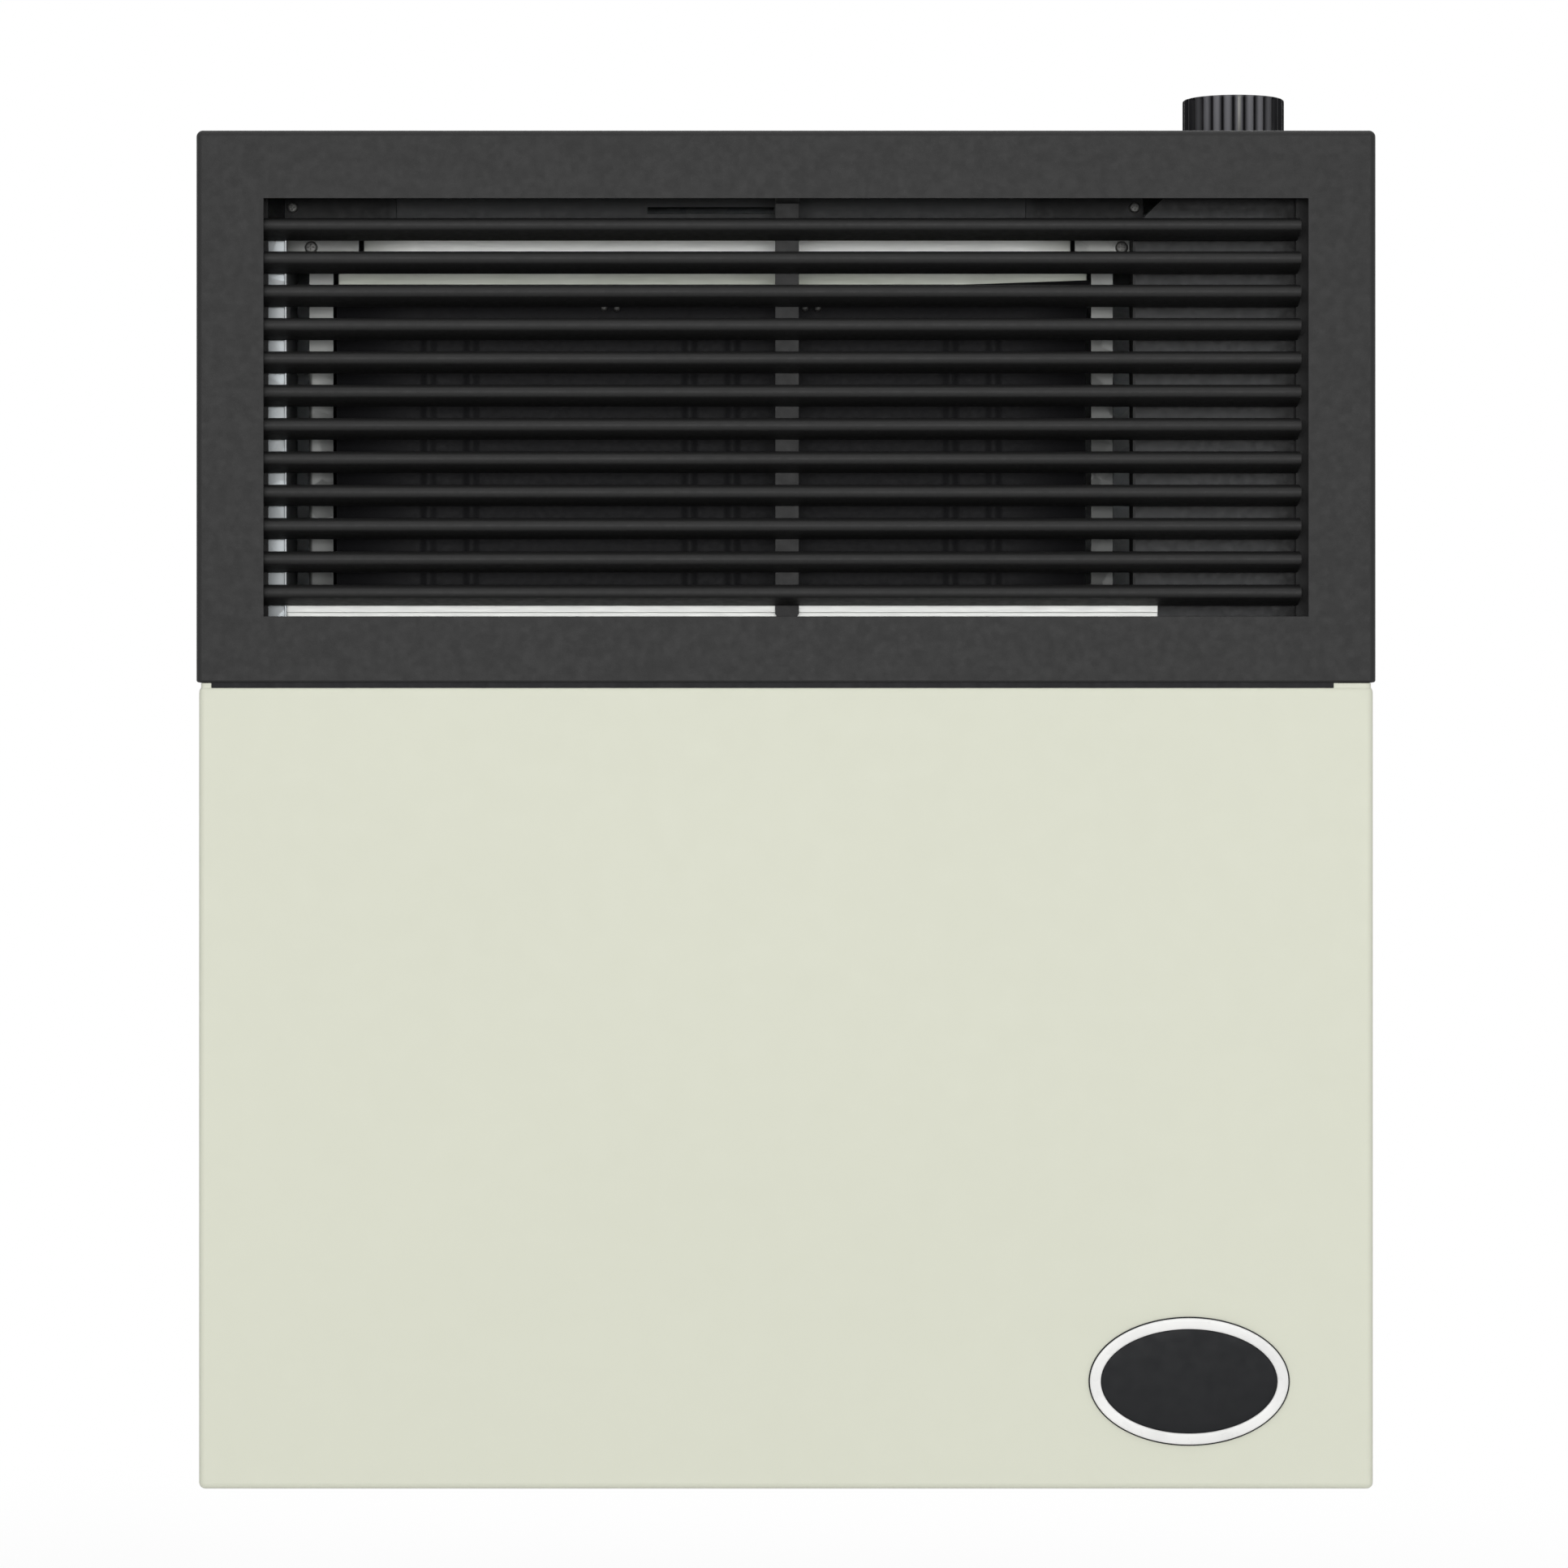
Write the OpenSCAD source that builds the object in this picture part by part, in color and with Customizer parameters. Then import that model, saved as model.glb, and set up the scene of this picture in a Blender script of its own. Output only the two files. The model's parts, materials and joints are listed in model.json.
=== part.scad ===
// Wall mounted gas heater with a balanced flue.
// Millimetres. +X is to the right seen from the room, +Y goes into the wall, +Z is up.
// The origin is on the flue axis, in the plane of the wall.

/* [Casing] */
// Width of the black hood
casing_w = 540; // [536:1:560]
// Height from the cover's bottom edge to the top of the hood
casing_h = 622; // [620:1:630]
// Depth from the wall to the front face
casing_d = 225; // [225:1:235]
// Sideways distance from the flue axis to the middle of the casing
casing_off = 35; // [34:1:36]
// Height of the flue axis above the cover's bottom edge
flue_up = 440; // [438:1:442]
// Height of the black hood
hood_h = 252.8; // [250:0.1:256]
// Height of the open seam between hood and cover
seam_h = 2.7; // [2:0.1:4]
// How far the cover stands inside the hood's sides
cover_inset = 1.2; // [0.8:0.1:1.4]
// Thickness of the casing sheet
sheet_t = 1; // [0.8:0.1:1]
// Radius of the casing's folded edges
edge_r = 3; // [2:0.5:3]

/* [Front opening] */
// Width of the hood's side bars
bar_side = 31; // [30:0.5:32]
// Height of the bar above the opening
bar_top = 31.3; // [30.5:0.1:32]
// Height of the bar below the opening
bar_bottom = 30.2; // [29:0.1:31]

/* [Louvres] */
// Height of the top louvre's nose above the flue axis
louvre_top = 139.1; // [138:0.1:139.5]
// Step from one louvre to the next
louvre_pitch = 15.33; // [15.2:0.01:15.4]
// Radius of the rolled nose
nose_r = 2.5; // [2.3:0.1:2.7]
// Thickness of the louvre sheet
louvre_t = 1; // [0.8:0.1:1]
// Depth from the nose's centre to the rear edge
louvre_depth = 18; // [17:0.5:18]
// Drop of the rear edge below the nose
louvre_drop = 2.9; // [2.4:0.1:3.2]
// Rise of the upper edge above the nose
louvre_rise = 1.4; // [0.8:0.1:1.6]
// Width of the upright rib behind the louvres
rib_w = 11; // [10:0.5:12]

/* [Knob] */
// Diameter of the knob
knob_d = 48; // [46:1:48]
// Height of the knob
knob_h = 18.5; // [18:0.5:19]
// Distance of the knob's axis behind the front face
knob_back = 88; // [88:1:92]
// Sideways distance from the flue axis to the knob's axis
knob_x = 247; // [246:1:248]
// Travel of the knob when it is pressed
knob_travel = 5; // [4:0.5:5]
// Diameter of the rod from the knob to the valve
rod_d = 8; // [8]

/* [Badge] */
// Width of the oval badge
badge_w = 92; // [88:1:94]
// Height of the oval badge
badge_h = 59; // [56:1:60]
// Width of the badge's rim
badge_rim_w = 5.6; // [5:0.1:6.5]
// Height of the badge's middle above the cover's bottom edge
badge_up = 49.5; // [48:0.5:52]
// Sideways distance from the casing's middle to the badge's middle
badge_off = 184.4; // [182:0.2:186]

/* [Heat exchanger] */
// Half of the width of the exchanger's front plate
front_half = 175; // [174:0.5:175]
// Height of the front plate's top edge above the flue axis
front_top = 116.2; // [115:0.1:117]
// Depth of the exchanger's body
box_d = 123; // [121:1:123]

/* [Flue and fixings] */
// Outer radius of the exhaust stub
exhaust_r = 38; // [36:0.5:38]
// Outer radius of the air intake collar
intake_r = 63.5; // [62:0.5:63.5]
// How far the intake collar stands into the wall
intake_out = 45; // [40:1:60]
// How far the exhaust stub stands into the wall
exhaust_out = 60; // [50:1:80]
// Spacing of the four wall bolts, both ways
bolt_spacing = 200; // [196:1:204]
// Radius of the wall bolt holes
bolt_r = 3.5; // [3:0.25:4]
// Outer radius of the gas inlet's thread
inlet_r = 8.33; // [8:0.01:8.5]

/* [Hidden] */
$fn = 48;
tiny = 1;
over = 5;
hole_gap = 0.2;
louvre_n = 12;

function louvre_name(i) = str("louvre_", i < 10 ? "0" : "", i);

// Casing faces
left_x = casing_off - casing_w / 2;
right_x = casing_off + casing_w / 2;
front_y = -casing_d;
back_y = -3;
bottom_z = -flue_up;
top_z = casing_h - flue_up;
hood_z = top_z - hood_h;
cover_x0 = left_x + cover_inset;
cover_x1 = right_x - cover_inset;
cover_z1 = hood_z - seam_h;
cover_lip = 14;
inner_y = front_y + sheet_t;

// Front opening
open_x0 = left_x + bar_side;
open_x1 = right_x - bar_side;
open_z0 = hood_z + bar_bottom;
open_z1 = top_z - bar_top;
open_r = 1;
seam_strip_x0 = left_x + 7;
seam_strip_x1 = right_x - 19.3;
seam_strip_cover = 12;
seam_strip_lap = 6;
upstand_back = 6;
upstand_gap = 0.3;

// Badge
badge_x = casing_off + badge_off;
badge_z = bottom_z + badge_up;
badge_rim_out = 1.4;
badge_plate_out = 0.9;

// Back panel, its flanges and its screws
chassis_t = 1.2;
chassis_y1 = -14;
chassis_y0 = chassis_y1 - chassis_t;
flange_y = -40;
fold_clear = 3;
screw_y = -28;
screw_r = 1.9;
screw_hole_r = 2.1;
screw_head_r = 4;
screw_head_h = 2.2;
screw_len = 6;
screw_crown = 0.8;
cross_l = 4.4;
cross_w = 1;
cross_deep = 1;
top_screw_x = [casing_off - 230, casing_off, casing_off + 230];
bottom_screw_x = [cover_x0 + 8, cover_x1 - 8];

// Wall bracket and its hooks
bracket_half = 120;
bracket_t = 1.5;
bracket_hole_r = 67;
hook_z = [-90, 70];
hook_h = 18;
hook_rise = 8;
hook_out = 7;
hook_slot_w = 3.5;
hook_slot_drop = 10;

// Louvres
louvre_y = front_y + 6;
tail_y = louvre_y + louvre_depth;
louvre_x0 = open_x0 - 9;
louvre_x1 = open_x1 - 2.8;
louvre_lip = 7;
strip_t = 1;
strip_left_x1 = open_x0 - 0.2;
strip_right_x0 = open_x1 + 10;
strip_right_x1 = louvre_x1 - 0.7;
strip_z0 = open_z0 - 8;
strip_z1 = open_z1 + 8;
rib_x = casing_off + 0.5;
rib_t = 1.2;
rib_neck = 3;
rib_foot_z = open_z0 - 6;
rib_head_z = open_z1 + 1.5;
rib_taper_z = [open_z0 - 2, open_z0 + 2];

// Sheet metal inside the casing
shield_t = 1;
panel_x = left_x + 21;
panel_front_y = front_y + 29;
panel_edge_x = left_x + 39.3;
panel_top = 140;
panel_return = 50;
panel_foot = bottom_z + 10;
shield_x = 188;
shield_lip_left = 11.5;
shield_lip_right = 10.4;
shield_y = front_y + 54;
shield_z0 = -200;
shield_z1 = 165;
tab_z0 = 127;
tab_in_left = 164.6;
tab_in_right = 170;
tab_out = 199.5;
lip_y = shield_y - shield_t;
lip_x0 = -199.5;
lip_x1 = 202;
lip_z0 = 143;
lip_z1 = 166;
lip_press_half = 147;
lip_press = 2;
lip_border = 2;
lip_t = 1;
slot_half = 29.5;
slot_z = 150.6;
slot_h = 3;
deflector_y = shield_y + 11;
deflector_gap = 1.4;
deflector_notch_z = 150;
deflector_z1 = 164;
guard_x0 = 195.5;
guard_x1 = 273;
guard_y = panel_front_y;
guard_z0 = -330;
guard_z1 = 160;
guard_corner = 20;
guard_return = 25;
guard_ears = [[shield_x - 3, 122.5, 130.2], [shield_x - 8, -190, -175]];
apron_x0 = -196;
apron_x1 = 207;
apron_z0 = -400;
apron_z1 = -31;
apron_hem = 7;
apron_ear_z = [-130, -380];
apron_ear_h = 20;

// Heat exchanger
wall_t = 2;
box_half = 160;
box_y0 = shield_y + shield_t;
box_y1 = box_y0 + box_d + wall_t;
box_z0 = -330;
box_z1 = front_top - 3.2;
front_z0 = -338;
front_plate_y = box_y0 - wall_t;
rib_r = 4;
rib_places = [-132, -112, -10, 10, 112, 132];
rib_z0 = -205;
rib_z1 = 92;
door_half = 70;
door_z0 = -318;
door_z1 = -232;
door_frame = 10;
gasket_t = 1;
door_t = 2;
door_y = front_plate_y - gasket_t - door_t;
sight_z = -270;
sight_r = 14;
glass_r = 17;
glass_t = 2;
sight_rim_r = 24;
sight_rim_t = 3.5;

// Screw heads and rivets inside
lip_screw_x = [-195.6, 198];
lip_screw_z = 152.1;
lip_screw_r = 2.6;
tab_screw_x = [-187, 192];
tab_screw_z = 133.5;
tab_screw_r = 3;
rivet_x = [-50, -44, 44, 50];
rivet_z = 105;
rivet_r = 1.6;
door_screw_x = [-64, 0, 64];
door_screw_z = [door_z0 + 5, door_z1 - 5];

// Air duct and stubs
duct_half = 82;
duct_z1 = 84;
duct_t = 1;
duct_hole_r = 66;
stub_wall = 1.5;
collar_wall = 1.2;
collar_flange_r = 76;
stub_flange_r = 50;
air_slot_half = 60;
air_slot_up = 5;
air_slot_h = 25;
baffle_z = -60;

// Burner
burner_y = -108;
burner_z = -290;
burner_r = 14;
burner_wall = 1.2;
burner_x0 = -120;
burner_x1 = 172;
plate_x = box_half;
plate_t = 2;
plate_lap = 8;
plate_y0 = -150;
plate_y1 = -66;
plate_z0 = -318;
plate_z1 = -232;
pilot_z = -264;
pilot_y = -128;
couple_y = -112;
spark_y = -92;
electrode_x = 118;
electrode_r = 3.5;
port_first = -110;
port_last = 80;
port_step = 10;

// Valve, knob, rod and igniter
knob_y = front_y + knob_back;
rod_r = rod_d / 2;
run_gap = 0.08;
knob_gap = knob_travel + 1;
knob_z0 = top_z + knob_gap;
knob_z1 = knob_z0 + knob_h;
knob_r = knob_d / 2;
flute_n = 27;
flute_r = 1.6;
knob_wall = 3;
knob_hollow = 12;
knob_bore = 15;
hub_r = 8;
hub_rise = 1.5;
knob_index = 2;
bushing_r = 6;
valve_x0 = knob_x - 25;
valve_x1 = knob_x + 25;
valve_y0 = knob_y - 26;
valve_y1 = knob_y + 26;
shelf_z = -342.5;
shelf_t = 1.5;
valve_z1 = -270;
boss_z1 = -258;
boss_r = 14;
plunger_r = 8;
plunger_z0 = -280;
plunger_z1 = -252;
piezo_x = knob_x - 42;
piezo_y = knob_y - 28;
piezo_r = 8;
piezo_z0 = -370;
piezo_z1 = -316;
piezo_bore = 25;
button_r = 6;
button_cap_r = 7.5;
button_cap_h = 3;
button_z0 = -385;
button_l = 33;
magnet_r = 13;
magnet_l = 20;
magnet_z = -310;
inlet_z0 = -432;
inlet_l = 20;

// Pipe routes
burner_pipe_r = 4;
pilot_pipe_r = 2;
couple_r = 1.6;
lead_r = 2.5;
capillary_r = 1.2;
bulb_r = 4.5;
bulb_y = -35;
bulb_z = -405;
bulb_x0 = -60;
bulb_x1 = 30;
capillary_x = knob_x + 19;
capillary_y = knob_y - 13;
burner_route = [
    [valve_x0, knob_y, -322], [209, knob_y, -322], [209, burner_y, -322],
    [209, burner_y, burner_z], [198, burner_y, burner_z]
];
pilot_route = [
    [valve_x0, -152, -292], [212, -152, -292], [212, -152, pilot_z],
    [212, pilot_y, pilot_z], [109, pilot_y, pilot_z]
];
couple_route = [
    [valve_x0, -122, -296], [214, -122, -296], [214, -122, pilot_z],
    [214, couple_y, pilot_z], [124, couple_y, pilot_z]
];
lead_route = [
    [166, spark_y, pilot_z], [185, spark_y, pilot_z], [185, spark_y, -240],
    [185, piezo_y, -240], [piezo_x, piezo_y, -240], [piezo_x, piezo_y, piezo_z1]
];
capillary_route = [
    [bulb_x1, bulb_y, bulb_z], [capillary_x, bulb_y, bulb_z],
    [capillary_x, capillary_y, bulb_z], [capillary_x, capillary_y, shelf_z]
];

// Colours
black_coat = [0.2, 0.2, 0.2];
cream = [0.86, 0.87, 0.8];
zinc = [0.68, 0.7, 0.71];
stove_black = [0.09, 0.09, 0.1];
bright_steel = [0.8, 0.81, 0.82];
brass = [0.78, 0.62, 0.3];
copper = [0.72, 0.45, 0.3];
dark_plastic = [0.13, 0.13, 0.14];
white = [0.93, 0.93, 0.92];

// ---- Helpers ----

// A box between two opposite corners
module block(low, high) {
    translate(low) cube(high - low);
}

// Round bars along X, Y and Z, starting at a point
module bar_x(start, r, length) {
    translate(start) rotate([0, 90, 0]) cylinder(h = length, r = r);
}

module bar_y(start, r, length) {
    translate(start) rotate([-90, 0, 0]) cylinder(h = length, r = r);
}

module bar_z(start, r, length) {
    translate(start) cylinder(h = length, r = r);
}

// Round through holes along X, Y and Z in a sheet of thickness t, starting at a point on its low face
module hole_x(at, r, t) {
    bar_x(at - [tiny, 0, 0], r, t + 2 * tiny);
}

module hole_y(at, r, t) {
    bar_y(at - [0, tiny, 0], r, t + 2 * tiny);
}

module hole_z(at, r, t) {
    bar_z(at - [0, 0, tiny], r, t + 2 * tiny);
}

// A section drawn in Y and Z, carried along X
module along_x(x0, x1) {
    translate([x0, 0, 0]) rotate([90, 0, 90]) linear_extrude(x1 - x0) children();
}

// A section drawn in X and Z, carried along Y
module along_y(y0, y1) {
    translate([0, y1, 0]) rotate([90, 0, 0]) linear_extrude(y1 - y0) children();
}

// A section drawn in X and Y, carried along Z
module along_z(z0, z1) {
    translate([0, 0, z0]) linear_extrude(z1 - z0) children();
}

module round_rect(x0, y0, x1, y1, r) {
    translate([x0 + r, y0]) square([x1 - x0 - 2 * r, y1 - y0]);
    translate([x0, y0 + r]) square([x1 - x0, y1 - y0 - 2 * r]);
    for (x = [x0 + r, x1 - r], y = [y0 + r, y1 - r]) translate([x, y]) circle(r);
}

// A block with round front edges, and round top edges (up = 1) or bottom edges (up = -1)
module folded(low, high, r, up) {
    z0 = up > 0 ? low.z - 4 * r : low.z;
    z1 = up > 0 ? high.z : high.z + 4 * r;
    intersection() {
        block(low, high);
        along_y(low.y - tiny, high.y + tiny) round_rect(low.x, z0, high.x, z1, r);
        along_z(low.z - tiny, high.z + tiny) round_rect(low.x, low.y, high.x, high.y + 4 * r, r);
        along_x(low.x - tiny, high.x + tiny) round_rect(low.y, z0, high.y + 4 * r, z1, r);
    }
}

module oval(w, h) {
    steps = 72;
    polygon([for (i = [0 : steps - 1]) [w / 2 * cos(360 * i / steps), h / 2 * sin(360 * i / steps)]]);
}

function unit(v) = v / norm(v);
function turn(a, b) = acos(unit(a) * unit(b));

// Places a child so that its X, Y and Z run along u, v and w from a point
module frame_at(p, u, v, w) {
    multmatrix([
        [u.x, v.x, w.x, p.x],
        [u.y, v.y, w.y, p.y],
        [u.z, v.z, w.z, p.z],
        [0, 0, 0, 1]
    ]) children();
}

// A straight length of pipe
module pipe_run(p, along, length, r) {
    side = abs(along.z) > 0.9 ? [1, 0, 0] : unit(cross([0, 0, 1], along));
    frame_at(p, side, cross(along, side), along) cylinder(h = length, r = r, $fn = 24);
}

// A bend between two directions at a corner
module pipe_bend(corner, a, b, r, bend) {
    angle = turn(a, b);
    inward = unit(b - (b * a) * a);
    centre = corner - a * bend * tan(angle / 2) + inward * bend;
    frame_at(centre, -inward, a, cross(-inward, a))
        rotate_extrude(angle = angle, $fn = 48) translate([bend, 0]) circle(r, $fn = 24);
}

// A pipe through a list of points, with a bend at each inner point
module pipe(points, r, bend) {
    last = len(points) - 1;
    for (i = [0 : last - 1]) {
        span = points[i + 1] - points[i];
        along = unit(span);
        cut_a = i == 0 ? 0 : bend * tan(turn(points[i] - points[i - 1], span) / 2);
        cut_b = i == last - 1 ? 0 : bend * tan(turn(span, points[i + 2] - points[i + 1]) / 2);
        pipe_run(points[i] + along * cut_a, along, norm(span) - cut_a - cut_b, r);
    }
    for (i = [1 : last - 1]) {
        pipe_bend(points[i], unit(points[i] - points[i - 1]), unit(points[i + 1] - points[i]), r, bend);
    }
}

// A union nut with its axis along X
module nut_x(start, r, length) {
    translate(start) rotate([0, 90, 0]) cylinder(h = length, r = r, $fn = 6);
}

// ---- Wall bracket and back panel ----

module wall_bracket() {
    hook_foot_y = chassis_y0 - 0.2;
    color(zinc) {
        difference() {
            block([-bracket_half, -bracket_t, -bracket_half], [bracket_half, 0, bracket_half]);
            hole_y([0, -bracket_t, 0], bracket_hole_r, bracket_t);
            for (x = [-1, 1], z = [-1, 1])
                hole_y([x * bolt_spacing / 2, -bracket_t, z * bolt_spacing / 2], bolt_r, bracket_t);
        }
        for (side = [-1, 1]) {
            x0 = side > 0 ? bracket_half - bracket_t : -bracket_half;
            x1 = x0 + bracket_t;
            block([x0, chassis_y1, -bracket_half], [x1, 0, bracket_half]);
            for (z = hook_z) {
                block([x0, hook_foot_y, z], [x1, chassis_y1, z + hook_h]);
                block([x0, chassis_y1 - hook_out, z], [x1, hook_foot_y, z + hook_h + hook_rise]);
            }
        }
    }
}

// A stretch of the back panel with a flange along each side
module chassis_half(x0, x1, z0, z1) {
    block([x0, chassis_y0, z0], [x1, chassis_y1, z1]);
    block([x0, flange_y, z0], [x0 + chassis_t, chassis_y1, z1]);
    block([x1 - chassis_t, flange_y, z0], [x1, chassis_y1, z1]);
}

module chassis_back() {
    upper_x0 = left_x + sheet_t;
    upper_x1 = right_x - sheet_t;
    lower_x0 = cover_x0 + sheet_t;
    lower_x1 = cover_x1 - sheet_t;
    z0 = bottom_z + sheet_t;
    z1 = top_z - sheet_t;
    top_x0 = upper_x0 + fold_clear;
    top_x1 = upper_x1 - fold_clear;
    foot_x0 = lower_x0 + fold_clear;
    foot_x1 = lower_x1 - fold_clear;
    step_z = hood_z - chassis_t;
    color(zinc) difference() {
        union() {
            chassis_half(upper_x0, upper_x1, hood_z, z1 - fold_clear);
            chassis_half(lower_x0, lower_x1, z0 + fold_clear, hood_z);
            block([upper_x0, flange_y, step_z], [lower_x0 + chassis_t, chassis_y1, hood_z]);
            block([lower_x1 - chassis_t, flange_y, step_z], [upper_x1, chassis_y1, hood_z]);
            block([top_x0, chassis_y0, z1 - fold_clear], [top_x1, chassis_y1, z1]);
            block([foot_x0, chassis_y0, z0], [foot_x1, chassis_y1, z0 + fold_clear]);
            block([top_x0, flange_y, z1 - chassis_t], [top_x1, chassis_y1, z1]);
            block([foot_x0, flange_y, z0], [foot_x1, chassis_y1, z0 + chassis_t]);
        }
        hole_y([0, chassis_y0, 0], duct_hole_r, chassis_t);
        for (side = [-1, 1], z = hook_z) {
            slot_x0 = side * (bracket_half - bracket_t / 2) - hook_slot_w / 2;
            block(
                [slot_x0, chassis_y0 - tiny, z - hook_slot_drop],
                [slot_x0 + hook_slot_w, chassis_y1 + tiny, z + hook_h]
            );
        }
        for (x = top_screw_x) hole_z([x, screw_y, z1 - chassis_t], screw_hole_r, chassis_t);
        for (x = bottom_screw_x) hole_z([x, screw_y, z0], screw_hole_r, chassis_t);
    }
}

// ---- Casing ----

module hood() {
    color(black_coat) {
        difference() {
            folded([left_x, front_y, hood_z], [right_x, back_y, top_z], edge_r, 1);
            folded(
                [left_x + sheet_t, inner_y, hood_z - over],
                [right_x - sheet_t, back_y + over, top_z - sheet_t],
                edge_r - sheet_t, 1
            );
            along_y(front_y - tiny, inner_y + tiny) round_rect(open_x0, open_z0, open_x1, open_z1, open_r);
            hole_z([knob_x, knob_y, top_z - sheet_t], bushing_r + hole_gap, sheet_t);
            for (x = top_screw_x) hole_z([x, screw_y, top_z - sheet_t], screw_hole_r, sheet_t);
        }
        block(
            [seam_strip_x0, inner_y, cover_z1 - seam_strip_cover],
            [seam_strip_x1, inner_y + sheet_t, hood_z + seam_strip_lap]
        );
    }
}

// The cover, with a short upstand in the seam at each of its two front corners
module lower_cover() {
    z1 = hood_z - upstand_gap;
    color(cream) difference() {
        folded([cover_x0, front_y, bottom_z], [cover_x1, back_y, z1], edge_r, -1);
        folded(
            [cover_x0 + sheet_t, inner_y, bottom_z + sheet_t],
            [cover_x1 - sheet_t, back_y + over, z1 + over],
            edge_r - sheet_t, -1
        );
        block(
            [cover_x0 - tiny, front_y + upstand_back, cover_z1],
            [cover_x1 + tiny, back_y + tiny, hood_z]
        );
        block([seam_strip_x0, front_y - tiny, cover_z1], [seam_strip_x1, inner_y + tiny, hood_z]);
        block(
            [cover_x0 + cover_lip, front_y + cover_lip, bottom_z - tiny],
            [cover_x1 - cover_lip, back_y + tiny, bottom_z + sheet_t + tiny]
        );
        for (x = bottom_screw_x) hole_z([x, screw_y, bottom_z], screw_hole_r, sheet_t);
    }
}

// A round-headed screw with its shank along an axis
module screw(at, axis) {
    side = abs(axis.z) > 0.9 ? [1, 0, 0] : unit(cross([0, 0, 1], axis));
    frame_at(at, side, cross(axis, side), axis) {
        cylinder(h = screw_len, r = screw_r, $fn = 24);
        translate([0, 0, -screw_head_h]) difference() {
            union() {
                cylinder(h = screw_head_h, r = screw_head_r - screw_crown, $fn = 24);
                translate([0, 0, screw_crown])
                    cylinder(h = screw_head_h - screw_crown, r = screw_head_r, $fn = 24);
            }
            for (a = [0, 90]) rotate([0, 0, a])
                block([-cross_l / 2, -cross_w / 2, -tiny], [cross_l / 2, cross_w / 2, cross_deep]);
        }
    }
}

module casing_screws() {
    color(zinc) {
        for (x = top_screw_x) screw([x, screw_y, top_z], [0, 0, -1]);
        for (x = bottom_screw_x) screw([x, screw_y, bottom_z], [0, 0, 1]);
    }
}

// ---- Louvres ----

// The rolled nose, as a half ring
module louvre_nose() {
    difference() {
        circle(nose_r);
        circle(nose_r - louvre_t);
        translate([0, -nose_r - tiny]) square([nose_r + tiny, 2 * (nose_r + tiny)]);
    }
}

// A leg of a louvre, from the nose to its free edge; side is 1 above and -1 below
module louvre_leg(side, reach, edge) {
    inner = nose_r - louvre_t;
    weld = 0.1;
    polygon([
        [-3 * weld, side * (nose_r - weld)], [0, side * nose_r], [reach, side * edge],
        [reach, side * (edge - louvre_t)], [0, side * inner], [-3 * weld, side * (inner + weld)]
    ]);
}

module louvre(i) {
    z = louvre_top - (i - 1) * louvre_pitch;
    color(black_coat) translate([0, louvre_y, z]) {
        along_x(louvre_x0, louvre_x1) louvre_nose();
        along_x(louvre_x0, louvre_x1) louvre_leg(1, louvre_lip, nose_r + louvre_rise);
        along_x(louvre_x0, louvre_x1) louvre_leg(-1, louvre_depth, nose_r + louvre_drop);
    }
}

// An angle that ties the louvres' ends to the hood
module louvre_strip(x_wall, x_edge) {
    low = min(x_wall, x_edge);
    high = max(x_wall, x_edge);
    leg = x_wall < x_edge ? x_wall - strip_t : x_wall;
    color(black_coat) {
        block([low, tail_y, strip_z0], [high, tail_y + strip_t, strip_z1]);
        block([leg, inner_y, strip_z0], [leg + strip_t, tail_y + strip_t, strip_z1]);
    }
}

module louvre_strip_left() {
    louvre_strip(louvre_x0, strip_left_x1);
}

module louvre_strip_right() {
    louvre_strip(strip_right_x0, strip_right_x1);
}

module louvre_rib() {
    half = rib_w / 2;
    color(black_coat) {
        along_y(tail_y, tail_y + rib_t) translate([rib_x, 0]) polygon([
            [-half, rib_head_z], [-half, rib_taper_z[1]],
            [-rib_neck, rib_taper_z[0]], [-rib_neck, rib_foot_z],
            [rib_neck, rib_foot_z], [rib_neck, rib_taper_z[0]],
            [half, rib_taper_z[1]], [half, rib_head_z]
        ]);
        block([rib_x - half, inner_y, rib_head_z - rib_t], [rib_x + half, tail_y, rib_head_z]);
        block([rib_x - rib_neck, inner_y, rib_foot_z], [rib_x + rib_neck, tail_y, rib_foot_z + rib_t]);
    }
}

// ---- Badge ----

module badge_rim() {
    color(white) along_y(front_y - badge_rim_out, front_y) translate([badge_x, badge_z]) difference() {
        oval(badge_w, badge_h);
        oval(badge_w - 2 * badge_rim_w, badge_h - 2 * badge_rim_w);
    }
}

module badge_plate() {
    trim = 2 * badge_rim_w + 0.1;
    color(stove_black) along_y(front_y - badge_plate_out, front_y)
        translate([badge_x, badge_z]) oval(badge_w - trim, badge_h - trim);
}

// ---- Sheet metal inside ----

module side_panel_left() {
    color(zinc) {
        block([panel_x, panel_front_y, panel_foot], [panel_x + shield_t, chassis_y0, panel_top]);
        block([panel_x, panel_front_y, panel_foot], [panel_edge_x, panel_front_y + shield_t, panel_top]);
        block([panel_edge_x - shield_t, tail_y, open_z0 - 3], [panel_edge_x, panel_front_y, panel_top]);
        block(
            [panel_edge_x - shield_t, panel_front_y, open_z0 - 3],
            [panel_edge_x, panel_front_y + panel_return, tab_z0 - 0.5]
        );
    }
}

module side_shield(lip, tab_in) {
    block([shield_x - shield_t, shield_y, shield_z0], [shield_x, chassis_y0, shield_z1]);
    block([shield_x - lip, shield_y, shield_z0], [shield_x, shield_y + shield_t, tab_z0]);
    block([tab_in, shield_y, tab_z0], [tab_out, shield_y + shield_t, shield_z1]);
}

module side_shield_left() {
    color(zinc) mirror([1, 0, 0]) side_shield(shield_lip_left, tab_in_left);
}

module side_shield_right() {
    color(zinc) side_shield(shield_lip_right, tab_in_right);
}

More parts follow.
